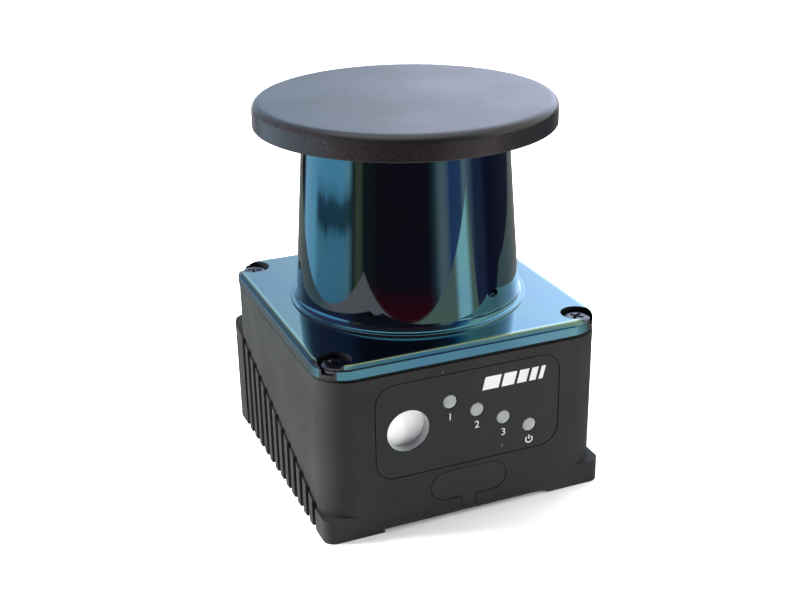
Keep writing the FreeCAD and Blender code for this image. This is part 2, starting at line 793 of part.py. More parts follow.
def front_overlay():
    film = rounded_block("overlay_film", "label_width - 2 * label_gap", "label_height - 2 * label_gap",
                         "label_thickness", "label_radius - label_gap",
                         (0, f"{FRONT} + label_recess", "label_bottom + label_height / 2"), UPRIGHT)
    holes = [cylinder("overlay_hole", "pipe_radius + 2 * light_clearance", "2 * spare",
                      (across, f"{FRONT} + spare", height), UPRIGHT) for across, height in LIGHT_PLACES]
    holes.append(cylinder("overlay_window", "status_tube_bore + light_clearance", "2 * spare",
                          ("status_across", f"{FRONT} + spare", "status_height"), UPRIGHT))
    return cut("front_overlay", film, *holes)


def indicator_light_pipes():
    inner_face = f"({FRONT} + front_wall)"
    pipes = []
    for across, height in LIGHT_PLACES:
        rod = cylinder("pipe_rod", "pipe_radius", "pipe_length",
                       (across, f"{FRONT} + pipe_front + pipe_length", height), UPRIGHT)
        collar = cylinder("pipe_collar", "pipe_flange_radius", "light_flange",
                          (across, f"{inner_face} + light_flange", height), UPRIGHT)
        pipes.append(fuse("light_pipe", rod, collar))
    return group("indicator_light_pipes", pipes)


def status_light_tube():
    spot = ("status_across", f"{FRONT} + status_front + status_length", "status_height")
    sleeve = cylinder("status_sleeve", "status_tube_radius", "status_length", spot, UPRIGHT)
    collar = cylinder("status_collar", "status_flange_radius", "light_flange",
                      ("status_across", f"{FRONT} + front_wall + light_flange", "status_height"), UPRIGHT)
    bore = cylinder("status_bore", "status_tube_bore", "status_length + 2 * spare",
                    ("status_across", f"{FRONT} + status_front + status_length + spare", "status_height"),
                    UPRIGHT)
    return cut("status_light_tube", fuse("status_tube_blank", sleeve, collar), bore)


def status_light_diffuser():
    return cylinder("status_light_diffuser", "status_tube_bore", "diffuser_thickness",
                    ("status_across", f"{FRONT} + status_depth + diffuser_thickness", "status_height"),
                    UPRIGHT)


def port_cover():
    """Rubber cover: pill and stem flush with the front wall, and a shallow plug on its inner face."""
    plate = t_shape("cover_plate", "cover_width - 2 * cover_gap", "cover_height - 2 * cover_gap",
                    "cover_stem_width - 2 * cover_gap", "cover_foot", "cover_thickness", FRONT)
    plug = rounded_block("cover_plug", "cover_plug_width", "cover_plug_height",
                         "cover_plug_depth + cover_thickness / 2", "cover_plug_radius",
                         (0, f"{FRONT} + cover_thickness + cover_plug_depth", "cover_centre"), UPRIGHT)
    return fuse("port_cover", plate, plug)


def port_cover_anchor():
    """Fixed end of the rubber strap: it runs under the base and is pegged through the floor."""
    strap = box("anchor_strap", "cover_stem_width - 2 * cover_gap", "anchor_length", "anchor_thickness",
                (0, f"{FRONT} + anchor_gap + anchor_length / 2", "foot_step"))
    peg = cylinder("anchor_peg", "anchor_peg_radius", "floor_top - foot_step",
                   (0, f"{FRONT} + anchor_peg_inset", "foot_step"))
    head = cylinder("anchor_head", "anchor_head_radius", "anchor_head_height",
                    (0, f"{FRONT} + anchor_peg_inset", "floor_top"))
    return fuse("port_cover_anchor", strap, peg, head)


def usb_receptacle():
    back = "(usb_length - board_front - usb_overhang)"
    shell = rounded_block("usb_shell", "usb_width", "usb_height", "usb_length", "usb_corner",
                          (0, back, f"{BOARD_TOP} + usb_height / 2"), UPRIGHT)
    mouth = rounded_block("usb_mouth", "usb_width - 2 * usb_wall", "usb_height - 2 * usb_wall", "usb_length",
                          "usb_corner - usb_wall",
                          (0, f"{back} - usb_back", f"{BOARD_TOP} + usb_height / 2"), UPRIGHT)
    tongue = box("usb_tongue_plate", "usb_tongue_width", "usb_tongue_length", "usb_tongue",
                 (0, f"{back} - usb_tongue_length / 2", f"{BOARD_TOP} + usb_height / 2"))
    return fuse("usb_receptacle", cut("usb_can", shell, mouth), tongue)


# ---------------------------------------------------------------- boards

def main_board():
    sheet_plate = rounded_block("main_board_plate", "board_width", "board_front + board_rear",
                                "board_thickness",
                                "board_radius", (0, "(board_rear - board_front) / 2", "board_bottom"))
    holes = [cylinder("board_hole", "board_screw_radius + screw_clearance", "board_thickness + 2 * spare",
                      (*spot, "board_bottom - spare")) for spot in BOARD_POSTS]
    return cut("main_board", sheet_plate, *holes)


def main_board_screws():
    return group("main_board_screws", [
        screw("board_screw", "board_screw_radius", "board_screw_length", "board_screw_head_radius",
              "board_screw_head_height", (*spot, BOARD_TOP)) for spot in BOARD_POSTS])


def main_processor():
    return box("main_processor", "chip_width", "chip_width", "chip_height",
               ("chip_across", "chip_along", BOARD_TOP))


def power_inductor():
    return rounded_block("power_inductor", "inductor_width", "inductor_width", "inductor_height",
                         "inductor_radius",
                         ("inductor_across", "inductor_along", BOARD_TOP))


def smoothing_capacitors():
    return group("smoothing_capacitors", [
        cylinder("capacitor", "capacitor_radius", "capacitor_height",
                 ("capacitor_across", f"capacitor_along + {n} * capacitor_pitch", BOARD_TOP))
                 for n in range(2)])


def indicator_board():
    middle = "-panel_board_front + board_thickness / 2"
    plate = box("panel_plate", "panel_board_width", "board_thickness", "panel_board_height",
                (0, middle, "panel_board_bottom"))
    tab = box("panel_tab", "panel_tab_width", "board_thickness", 
              "panel_board_bottom - panel_tab_bottom + spare",
              ("panel_tab_across", middle, "panel_tab_bottom"))
    holes = [cylinder("panel_hole", "receiver_screw_radius", "board_thickness + 2 * spare",
                      (across, "-panel_board_front + board_thickness + spare", height), UPRIGHT)
             for across, height in PANEL_POSTS]
    return cut("indicator_board", fuse("panel_blank", plate, tab), *holes)


def indicator_board_screws():
    screws = []
    for across, height in PANEL_POSTS:
        back = "-panel_board_front + board_thickness"
        shank = cylinder("panel_shank", "receiver_screw_radius", "panel_screw_length",
                         (across, back, height), UPRIGHT)
        head = cylinder("panel_head", "receiver_screw_head_radius", "receiver_screw_head_height",
                        (across, f"{back} + receiver_screw_head_height", height), UPRIGHT)
        screws.append(fuse("panel_screw", shank, head))
    return group("indicator_board_screws", screws)


def board_sockets():
    """Sockets on the main board: flex cable, supply wires and the indicator board's lower edge."""
    flex = cut("flex_socket", box("flex_socket_block", "socket_width", "socket_depth", "socket_height",
                                  (0, "flex_along", BOARD_TOP)),
               box("flex_socket_slot", "flex_width", "flex_thickness", "socket_height",
                   (0, "flex_along", f"{BOARD_TOP} + flex_seat")))
    supply = box("supply_header", "header_width", "header_depth", "header_height",
                 (0, "header_along", BOARD_TOP))
    middle = "-panel_board_front + board_thickness / 2"
    panel = cut("panel_socket", box("panel_socket_block", "panel_socket_width", "panel_socket_depth",
                                    "panel_socket_height", ("panel_tab_across", middle, BOARD_TOP)),
                box("panel_socket_slot", "panel_tab_width", "board_thickness", "panel_socket_height",
                    ("panel_tab_across", middle, "panel_tab_bottom")))
    return group("board_sockets", [flex, supply, panel])


def indicator_leds():
    places = LIGHT_PLACES + [("status_across", "status_height")]
    return group("indicator_leds", [
        box("led", "led_width", "led_height", "led_width",
            (across, "-panel_board_front - led_height / 2", f"{height} - led_width / 2"))
        for across, height in places])


# ---------------------------------------------------------------- chassis, motor and bearings

def chassis_plate():
    depth = "(chassis_rear - chassis_front)"
    plate = rounded_block("chassis_sheet", "chassis_width", depth, "chassis_thickness", "chassis_radius",
                          (0, "(chassis_rear + chassis_front) / 2", "chassis_bottom"))
    through = "chassis_thickness + 2 * spare"
    low = "chassis_bottom - spare"
    holes = [cylinder("chassis_notch_tool", "chassis_notch", through, (*spot, low)) for spot in FLANGE_SCREWS]
    holes += [cylinder("chassis_hole", "chassis_screw_radius + screw_clearance", through, (*spot, low))
              for spot in CHASSIS_POSTS]
    holes += [cylinder("carrier_thread", "carrier_screw_radius", through, (*spot, low))
              for spot in CARRIER_SCREWS]
    holes += [cylinder("spine_thread", "carrier_screw_radius", through, (*spot, low))
              for spot in SPINE_SCREWS]
    holes.append(cylinder("motor_hole", "carrier_tube_radius + carrier_clearance", through, (0, 0, low)))
    holes.append(box("flex_slot", "flex_slot_length", "flex_slot_width", through, (0, "flex_along", low)))
    return cut("chassis_plate", plate, *holes)


def chassis_screws():
    return group("chassis_screws", [
        screw("chassis_screw", "chassis_screw_radius", "chassis_screw_length", "chassis_screw_head_radius",
              "chassis_screw_head_height", (*spot, CHASSIS_TOP)) for spot in CHASSIS_POSTS])


def bearing_carrier():
    """Turned flange and tube that hold both bearings and the stator."""
    flange = cylinder("carrier_flange", "carrier_flange_radius", f"carrier_top - ({CHASSIS_TOP})",
                      (0, 0, CHASSIS_TOP))
    barrel = cylinder("carrier_tube", "carrier_tube_radius", "carrier_top - carrier_bottom",
                      (0, 0, "carrier_bottom"))
    bore = cylinder("carrier_centre", "carrier_bore", "carrier_top - carrier_bottom + 2 * spare",
                    (0, 0, "carrier_bottom - spare"))
    upper = cylinder("carrier_upper_seat", "bearing_radius", "carrier_top - bearing_upper + spare",
                     (0, 0, "bearing_upper"))
    lower = cylinder("carrier_lower_seat", "bearing_radius",
                     "bearing_lower + bearing_width - carrier_bottom + spare",
                     (0, 0, "carrier_bottom - spare"))
    holes = []
    for spot in CARRIER_SCREWS:
        holes.append(cylinder("carrier_hole", "carrier_screw_radius",
                              f"carrier_top - ({CHASSIS_TOP}) + 2 * spare",
                              (*spot, f"{CHASSIS_TOP} - spare")))
        holes.append(cylinder("carrier_sink", "carrier_screw_head_radius",
                              "carrier_screw_head_height + spare",
                              (*spot, "carrier_top - carrier_screw_head_height")))
    return cut("bearing_carrier", fuse("carrier_blank", flange, barrel), bore, upper, lower, *holes)


def bearing_carrier_screws():
    return group("bearing_carrier_screws", [
        screw("carrier_screw", "carrier_screw_radius", "carrier_screw_length", "carrier_screw_head_radius",
              "carrier_screw_head_height", (*spot, "carrier_top - carrier_screw_head_height"))
        for spot in CARRIER_SCREWS])


BEARINGS = ("bearing_lower", "bearing_upper")


def ball_groove(name, seat):
    return torus(name, "ball_circle", "ball_radius + ball_clearance", (0, 0, f"{seat} + bearing_width / 2"))


def bearing_outer_rings():
    return group("bearing_outer_rings", [
        cut("outer_ring", tube("outer_race", "bearing_radius", "bearing_shoulder_outer", "bearing_width",
                               (0, 0, seat)), ball_groove("outer_groove", seat)) for seat in BEARINGS])


def bearing_inner_rings():
    return group("bearing_inner_rings", [
        cut("inner_ring", tube("inner_race", "bearing_shoulder_inner", "shaft_radius", "bearing_width",
                               (0, 0, seat)), ball_groove("inner_groove", seat)) for seat in BEARINGS])


def bearing_balls():
    return group("bearing_balls", [sphere("ball", "ball_radius", (*spot, f"{seat} + bearing_width / 2"))
                                   for seat in BEARINGS
                                   for spot in on_circle(BALLS, "ball_circle", FIRST_BALL)])


def bearing_cages():
    """Thin rings that keep the balls apart, with a window for each ball."""
    cages = []
    window = "2 * (ball_radius + ball_clearance)"
    for seat in BEARINGS:
        middle = f"{seat} + bearing_width / 2"
        band = tube("cage_band", "cage_outer", "cage_inner", "cage_height",
                    (0, 0, f"{middle} - cage_height / 2"))
        windows = [radial_box("cage_window", "cage_outer", window, window, "ball_circle / 2", turn,
                              f"{middle} - ball_radius - ball_clearance")
                              for turn in turns_of(BALLS, FIRST_BALL)]
        cages.append(cut("cage", band, *windows))
    return group("bearing_cages", cages)


def stator_core():
    """Ring of laminations with round slots that open towards the magnet."""
    ring = tube("core_ring", "stator_radius", "carrier_tube_radius", "stator_height", (0, 0, "stator_bottom"))
    tools = [cylinder("core_slot", "slot_radius", "stator_height + 2 * spare",
                      (*spot, "stator_bottom - spare"))
             for spot in on_circle(STATOR_SLOTS, "slot_circle")]
    tools += [radial_box("core_mouth", "stator_radius - slot_circle + spare", "slot_mouth",
                         "stator_height + 2 * spare", "slot_circle", turn, "stator_bottom - spare")
                         for turn in turns_of(STATOR_SLOTS)]
    return cut("stator_core", ring, *tools)


def stator_windings():
    """Copper in the slots and the end turns above and below the laminations."""
    low = "(stator_bottom - winding_overhang)"
    rods = [cylinder("winding_rod", "slot_radius - light_clearance", "stator_height + 2 * winding_overhang",
                     (*spot, low)) for spot in on_circle(STATOR_SLOTS, "slot_circle")]
    lower = tube("winding_low_end", "winding_outer", "winding_inner", "winding_overhang", (0, 0, low))
    upper = tube("winding_high_end", "winding_outer", "winding_inner", "winding_overhang",
                 (0, 0, "stator_bottom + stator_height"))
    return fuse("stator_windings", lower, upper, *rods)


def motor_driver_board():
    return tube("motor_driver_board", "driver_radius", "driver_bore", "driver_thickness",
                (0, 0, "driver_bottom"))


def rotor_bell():
    outside = cylinder("bell_outside", "bell_radius", "bell_height", (0, 0, "bell_bottom"))
    inside = cylinder("bell_inside", "bell_inner", "bell_height", (0, 0, "bell_bottom + bell_floor"))
    bore = cylinder("bell_bore", "shaft_radius", "bell_floor + 2 * spare", (0, 0, "bell_bottom - spare"))
    return cut("rotor_bell", outside, inside, bore)


def rotor_magnet():
    return tube("rotor_magnet", "bell_inner", "magnet_inner", "magnet_height", (0, 0, "magnet_bottom"))


def motor_shaft():
    return cylinder("motor_shaft", "shaft_radius", "shaft_top - shaft_bottom", (0, 0, "shaft_bottom"))


# ---------------------------------------------------------------- rotating mirror and encoder

COLLAR_TOP = "hub_bottom + hub_height + hub_collar_height"
CARRIER_FOOT = "hub_bottom + hub_height + encoder_thickness"


def mirror_hub():
    disc = cylinder("hub_disc", "hub_radius", "hub_height", (0, 0, "hub_bottom"))
    collar = cylinder("hub_collar", "hub_collar_radius", "hub_height + hub_collar_height",
                      (0, 0, "hub_bottom"))
    bore = cylinder("hub_bore", "shaft_radius", "hub_height + hub_collar_height + 2 * spare",
                    (0, 0, "hub_bottom - spare"))
    thread = cylinder("hub_thread", "set_screw_radius", "hub_radius",
                      (0, 0, "hub_bottom + hub_height / 2"), SIDEWAYS)
    return cut("mirror_hub", fuse("hub_blank", disc, collar), bore, thread)


def hub_set_screw():
    return cylinder("hub_set_screw", "set_screw_radius", "set_screw_length",
                    ("shaft_radius", 0, "hub_bottom + hub_height / 2"), SIDEWAYS)


def encoder_disc():
    disc = tube("encoder_plate", "encoder_radius", "hub_collar_radius", "encoder_thickness",
                (0, 0, "hub_bottom + hub_height"))
    slots = [radial_box("encoder_slot", "encoder_slot_length", "encoder_slot_width",
                        "encoder_thickness + 2 * spare",
                        "encoder_slot_circle - encoder_slot_length / 2", turn,
                        "hub_bottom + hub_height - spare")
             for turn in turns_of(ENCODER_SLOTS)]
    return cut("encoder_disc", disc, *slots)


def encoder_sensor():
    """Fork that straddles the rim of the encoder disc."""
    middle = "-(fork_inner + fork_outer) / 2"
    block = box("fork_block", "fork_outer - fork_inner", "fork_width", f"fork_top - ({CHASSIS_TOP})",
                (middle, 0, CHASSIS_TOP))
    gap = box("fork_gap", "fork_throat - fork_inner + spare", "fork_width + 2 * spare",
              "fork_gap_top - fork_gap_bottom",
              ("-(fork_throat + fork_inner - spare) / 2", 0, "fork_gap_bottom"))
    return cut("encoder_sensor", block, gap)


def slanted_slab(name, thickness, offset):
    """A thick plate tilted 45 degrees about X whose lower face crosses the axis at mirror_centre + offset."""
    slab = doc.addObject("Part::Box", name)
    bind(slab, Length="8 * mirror_radius", Width="8 * mirror_radius", Height=thickness)
    half = "(4 * mirror_radius)"
    tilt = FreeCAD.Rotation(FreeCAD.Vector(1, 0, 0), 45)
    return put(slab, (f"-{half}", f"-{half} * cos(45)", f"mirror_centre + {offset} - {half} * sin(45)"), tilt)


def mirror_carrier():
    """Round block cut off at 45 degrees, with a lightening pocket on its heavy side."""
    blank = cylinder("mirror_block", "mirror_radius", f"mirror_centre + mirror_radius - ({CARRIER_FOOT})",
                     (0, 0, CARRIER_FOOT))
    above = slanted_slab("above_mirror", "4 * mirror_radius", "0")
    seat = cylinder("carrier_collar_seat", "hub_collar_radius", f"{COLLAR_TOP} - ({CARRIER_FOOT})",
                    (0, 0, CARRIER_FOOT))
    bore = cylinder("carrier_shaft_bore", "shaft_radius", f"shaft_top - ({CARRIER_FOOT})",
                    (0, 0, CARRIER_FOOT))
    pocket = cylinder("carrier_pocket", "pocket_radius", "pocket_depth",
                      (0, "pocket_along", f"{CARRIER_FOOT} + pocket_floor"))
    return cut("mirror_carrier", blank, above, seat, bore, pocket)


def scan_mirror():
    column = cylinder("mirror_column", "mirror_radius", "6 * mirror_radius", (0, 0, "hub_bottom"))
    return common("scan_mirror", column, slanted_slab("mirror_slab", "mirror_thickness", "0"))


# ---------------------------------------------------------------- fixed optical head

def sector(name, outer, inner, height, angle, low):
    """Part of a tube, centred on the rear (+Y) side."""
    ring = cylinder(name + "_ring", outer, height, (0, 0, low),
                    FreeCAD.Rotation(FreeCAD.Vector(0, 0, 1), 90 - sheet.get(angle) / 2), angle=angle)
    return cut(name, ring, cylinder(name + "_core", inner, f"({height}) + 2 * spare",
                                    (0, 0, f"({low}) - spare")))


def optics_bracket():
    """Foot on the chassis, curved spine behind the mirror and a ring plate over it."""
    foot = sector("bracket_foot", "spine_foot_outer", "spine_foot_inner", "spine_foot_height",
                  "spine_foot_angle", CHASSIS_TOP)
    ring_top = "head_ring_bottom + head_ring_thickness"
    spine = sector("bracket_spine", "spine_outer", "spine_inner", f"{ring_top} - ({CHASSIS_TOP})",
                   "spine_angle", CHASSIS_TOP)
    ring = tube("bracket_ring", "spine_outer", "barrel_radius", "head_ring_thickness",
                (0, 0, "head_ring_bottom"))
    notch = box("bracket_flex_notch", "flex_slot_length", "flex_slot_width",
                "head_ring_thickness + 2 * spare",
                (0, "flex_along", "head_ring_bottom - spare"))
    holes = [cylinder("bracket_hole", "carrier_screw_radius", "spine_foot_height + 2 * spare",
                      (*spot, f"{CHASSIS_TOP} - spare")) for spot in SPINE_SCREWS]
    holes += [cylinder("bracket_sink", "carrier_screw_head_radius", "carrier_screw_head_height + spare",
                       (*spot, f"{CHASSIS_TOP} + spine_foot_height - carrier_screw_head_height"))
              for spot in SPINE_SCREWS]
    return cut("optics_bracket", fuse("bracket_blank", foot, spine, ring), notch, *holes)


def bracket_screws():
    return group("bracket_screws", [
        screw("bracket_screw", "carrier_screw_radius", "bracket_screw_length", "carrier_screw_head_radius",
              "carrier_screw_head_height",
              (*spot, f"{CHASSIS_TOP} + spine_foot_height - carrier_screw_head_height"))
        for spot in SPINE_SCREWS])


def lens_barrel():
    barrel = cylinder("barrel_outside", "barrel_radius", "barrel_height", (0, 0, "barrel_bottom"))
    flange = cylinder("barrel_flange", "barrel_flange_radius", "barrel_flange_thickness",
                      (0, 0, "head_ring_bottom + head_ring_thickness"))
    bore = cylinder("barrel_inside", "barrel_bore", "barrel_height + 2 * spare",
                    (0, 0, "barrel_bottom - spare"))
    return cut("lens_barrel", fuse("barrel_blank", barrel, flange), bore)


def receiver_lens():
    """Flat below, convex above, pierced for the laser."""
    blank = cylinder("lens_blank", "lens_radius", "lens_height", (0, 0, "lens_bottom"))
    ball = sphere("lens_ball", "lens_curve", (0, 0, "lens_bottom + lens_height - lens_curve"))
    hole = cylinder("lens_hole", "laser_radius", "lens_height + 2 * spare", (0, 0, "lens_bottom - spare"))
    return cut("receiver_lens", common("lens_body", blank, ball), hole)


def laser_module():
    barrel = cylinder("laser_barrel", "laser_radius", "receiver_bottom - laser_bottom",
                      (0, 0, "laser_bottom"))
    mouth = cylinder("laser_mouth", "laser_bore", "laser_bore_depth + spare", (0, 0, "laser_bottom - spare"))
    return cut("laser_module", barrel, mouth)


def collimator_lens():
    top = "laser_bottom + laser_bore_depth"
    blank = cylinder("collimator_blank", "laser_bore", "collimator_height",
                     (0, 0, f"{top} - collimator_height"))
    ball = sphere("collimator_ball", "collimator_curve",
                  (0, 0, f"{top} - collimator_height + collimator_curve"))
    return common("collimator_lens", blank, ball)


def receiver_board():
    disc = cylinder("receiver_disc", "receiver_radius", "receiver_thickness", (0, 0, "receiver_bottom"))
    holes = [cylinder("receiver_hole", "receiver_screw_radius", "receiver_thickness + 2 * spare",
                      (*spot, "receiver_bottom - spare")) for spot in STANDOFFS]
    return cut("receiver_board", disc, *holes)


def receiver_photodiode():
    return cylinder("receiver_photodiode", "detector_radius", "detector_height",
                    (0, "detector_along", "receiver_bottom - detector_height"))


def board_standoffs():
    low = "head_ring_bottom + head_ring_thickness + barrel_flange_thickness"
    posts = []
    for spot in STANDOFFS:
        post = cylinder("standoff_post", "standoff_radius", f"receiver_bottom - ({low})", (*spot, low))
        thread = cylinder("standoff_thread", "receiver_screw_radius", "receiver_screw_length",
                          (*spot, "receiver_bottom - receiver_screw_length"))
        posts.append(cut("standoff", post, thread))
    return group("board_standoffs", posts)


def receiver_board_screws():
    top = "receiver_bottom + receiver_thickness"
    return group("receiver_board_screws", [
        screw("receiver_screw", "receiver_screw_radius", "receiver_screw_length",
              "receiver_screw_head_radius",
              "receiver_screw_head_height", (*spot, top)) for spot in STANDOFFS])


def head_flex_cable():
    """Flat ribbon from the main board's socket up the inner side of the spine, bent to the receiver board."""
    rise = box("flex_rise", "flex_width", "flex_thickness", f"flex_top - ({BOARD_TOP}) - flex_seat",
               (0, "flex_along", f"{BOARD_TOP} + flex_seat"))
    tail = box("flex_tail", "flex_width", "flex_tail_length", "flex_thickness",
               (0, "flex_along + (flex_thickness - flex_tail_length) / 2", "flex_top - flex_thickness"))
    return fuse("head_flex_cable", rise, tail)


# ---------------------------------------------------------------- rear connector

def connector_shell():
    wall_face = "body_width / 2"
    tip = f"{wall_face} + connector_flange_thickness + connector_thread_length"
    spot = (0, tip, "connector_height")
    barrel = cylinder("connector_thread", "connector_thread_radius", "connector_thread_length", spot, UPRIGHT)
    flange = cylinder("connector_flange", "connector_flange_radius", "connector_flange_thickness",
                      (0, f"{wall_face} + connector_flange_thickness", "connector_height"), UPRIGHT)
    shank = cylinder("connector_shank_rod", "connector_shank_radius", "connector_shank_length",
                     (0, wall_face, "connector_height"), UPRIGHT)
    bore = cylinder("connector_inside", "connector_bore",
                    f"{tip} - ({wall_face}) + connector_shank_length + 2 * spare",
                    (0, f"{tip} + spare", "connector_height"), UPRIGHT)
    groove = torus("connector_groove", "connector_seal_circle", "connector_seal_radius",
                   (0, wall_face, "connector_height"), UPRIGHT)
    return cut("connector_shell", fuse("connector_blank", barrel, flange, shank), bore, groove)


def connector_seal():
    """Ring squeezed between the connector flange and the rear wall."""
    ring = torus("seal_ring", "connector_seal_circle", "connector_seal_radius",
                 (0, "body_width / 2", "connector_height"), UPRIGHT)
    outside = box("seal_limit", "2 * connector_flange_radius", "2 * connector_seal_radius",
                  "2 * connector_flange_radius",
                  (0, "body_width / 2 + connector_seal_radius", "connector_height - connector_flange_radius"))
    return common("connector_seal", ring, outside)


def connector_insert():
    length = ("(connector_shank_length + connector_flange_thickness + connector_thread_length"
              " - connector_insert_depth)")
    start = "body_width / 2 - connector_shank_length"
    plug = cylinder("insert_plug", "connector_bore", length,
                    (0, f"{start} + {length}", "connector_height"), UPRIGHT)
    pins = [cylinder("insert_hole", "connector_pin_radius", f"{length} + 2 * spare",
                     (across, f"{start} + {length} + spare", f"connector_height + {height}"), UPRIGHT)
            for across, height in on_circle(CONNECTOR_PINS, "connector_pin_circle", FIRST_PIN)]
    return cut("connector_insert", plug, *pins)


def connector_pins():
    reach = ("body_width / 2 + connector_flange_thickness + connector_thread_length"
             " - connector_insert_depth + connector_pin_reach")
    return group("connector_pins", [
        cylinder("pin", "connector_pin_radius",
                 f"{reach} - body_width / 2 + connector_shank_length + connector_pin_tail",
                 (across, reach, f"connector_height + {height}"), UPRIGHT)
        for across, height in on_circle(CONNECTOR_PINS, "connector_pin_circle", FIRST_PIN)])


def connector_nut():
    """Hexagonal nut on the inner face of the rear wall."""
    inner = "body_width / 2 - wall"
    prism = doc.addObject("Part::Prism", "nut_prism")
    prism.Polygon = 6
    bind(prism, Circumradius="connector_nut_radius", Height="connector_nut_thickness")
    put(prism, (0, inner, "connector_height"), UPRIGHT)
    bore = cylinder("nut_bore", "connector_shank_radius", "connector_nut_thickness + 2 * spare",
                    (0, f"{inner} + spare", "connector_height"), UPRIGHT)
    return cut("connector_nut", prism, bore)


def supply_wires():
    """Wires that leave the connector's back, bend down and end in the header on the main board."""
    start = "(body_width / 2 - connector_shank_length - connector_pin_tail)"
    run = "header_along + wire_bend"
    wires = []
    for index in range(WIRES):
        across = f"wire_pitch * ({index} - {WIRES - 1} / 2)"
        level = cylinder("wire_level", "wire_radius", f"{start} - ({run})",
                         (across, start, "connector_height"),
                         UPRIGHT)
        bend = torus("wire_bend_arc", "wire_bend", "wire_radius",
                     (across, run, "connector_height - wire_bend"),
                     FreeCAD.Rotation(FreeCAD.Vector(0, 0, 1), FreeCAD.Vector(0, -1, 0),
                                      FreeCAD.Vector(1, 0, 0)),
                     angle=90)
        drop = cylinder("wire_drop", "wire_radius",
                        f"connector_height - wire_bend - ({BOARD_TOP}) - header_height",
                        (across, "header_along", f"{BOARD_TOP} + header_height"))
        wires.append(fuse("wire", level, bend, drop))
    return group("supply_wires", wires)


# ---------------------------------------------------------------- assemble, check and write

PIECES = (
    lower_housing, flange_gasket, optical_window, flange_screws, top_cap, cap_seal, front_overlay,
    indicator_light_pipes, status_light_tube, status_light_diffuser, port_cover, port_cover_anchor,
    usb_receptacle, main_board, main_board_screws, main_processor, power_inductor, smoothing_capacitors,
    board_sockets, indicator_board, indicator_board_screws, indicator_leds,
    chassis_plate, chassis_screws, bearing_carrier, bearing_carrier_screws, bearing_outer_rings,
    bearing_inner_rings, bearing_balls, bearing_cages, stator_core, stator_windings, motor_driver_board,
    rotor_bell, rotor_magnet, motor_shaft, mirror_hub, hub_set_screw, encoder_disc, encoder_sensor,
    mirror_carrier, scan_mirror, optics_bracket, bracket_screws, lens_barrel, receiver_lens, laser_module,
    collimator_lens, receiver_board, receiver_photodiode, board_standoffs, receiver_board_screws,
    head_flex_cable, connector_shell, connector_seal, connector_insert, connector_pins, connector_nut,
    supply_wires,
)

for make in PIECES:
    node(make.__name__, make())
doc.recompute()

for item in doc.Objects:
    if "Invalid" in item.State or "Error" in item.State:
        raise RuntimeError(f"{item.Name} failed: {item.State}")
for name, item in nodes.items():
    if item.Shape.isNull() or not item.Shape.isValid():
        raise RuntimeError(f"{name} has no valid shape")

os.makedirs("parts", exist_ok=True)
for name, item in nodes.items():
    item.Shape.exportStep(f"parts/{name}.step")
    print(f"{name}: {len(item.Shape.Solids)} solids, {item.Shape.Volume:.1f} mm3")
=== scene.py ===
import json
import math

import bmesh
import bpy
from mathutils import Matrix, Vector


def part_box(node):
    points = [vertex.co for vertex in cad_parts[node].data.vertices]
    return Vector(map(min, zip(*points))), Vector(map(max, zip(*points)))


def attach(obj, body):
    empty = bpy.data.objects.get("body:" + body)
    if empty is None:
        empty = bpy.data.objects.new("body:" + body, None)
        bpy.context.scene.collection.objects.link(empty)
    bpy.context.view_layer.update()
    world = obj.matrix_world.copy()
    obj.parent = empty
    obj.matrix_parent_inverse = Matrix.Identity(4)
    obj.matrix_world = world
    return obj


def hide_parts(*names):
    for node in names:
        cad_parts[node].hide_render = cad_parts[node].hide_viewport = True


# Looks of the laser scanner module: powder-coated base, mirror-coated window, satin cap.
# Everything is built in the part's own frame (metres, +Z up, front panel facing -Y).
# Sizes below are written in millimetres and multiplied by MM where they are used.

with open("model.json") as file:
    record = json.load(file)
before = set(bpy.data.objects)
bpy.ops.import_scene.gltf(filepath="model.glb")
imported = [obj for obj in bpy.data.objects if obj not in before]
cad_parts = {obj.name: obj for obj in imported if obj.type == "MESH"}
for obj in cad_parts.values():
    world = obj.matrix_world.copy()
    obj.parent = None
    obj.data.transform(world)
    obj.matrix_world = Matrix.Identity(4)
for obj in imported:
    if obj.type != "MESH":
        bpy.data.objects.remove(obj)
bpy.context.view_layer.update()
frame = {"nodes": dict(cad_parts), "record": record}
nodes = frame["nodes"]

MM = 0.001
TURN = 2 * math.pi
QUARTER = math.pi / 2
SIDES = (-1, 1)
# how far a cutting tool reaches past what it cuts, in millimetres
SPARE = 1.0
# points closer than this are one, in millimetres, and faces flatter than this are one, in degrees
SAME_POINT = 0.002
FLAT_ANGLE = 0.6
STAYS_SHARP = 12.0
# steps in a quarter of a round corner, and in a rounding seen large
CORNER_STEPS = 24
ROUNDING_STEPS = 10

window_low, window_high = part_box("optical_window")
cap_low, cap_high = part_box("top_cap")
label_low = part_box("front_overlay")[0]
screws_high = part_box("flange_screws")[1]
seal_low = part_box("connector_seal")[0]
pipes_low, pipes_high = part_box("indicator_light_pipes")
shell_low, shell_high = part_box("connector_shell")
insert_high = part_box("connector_insert")[1]

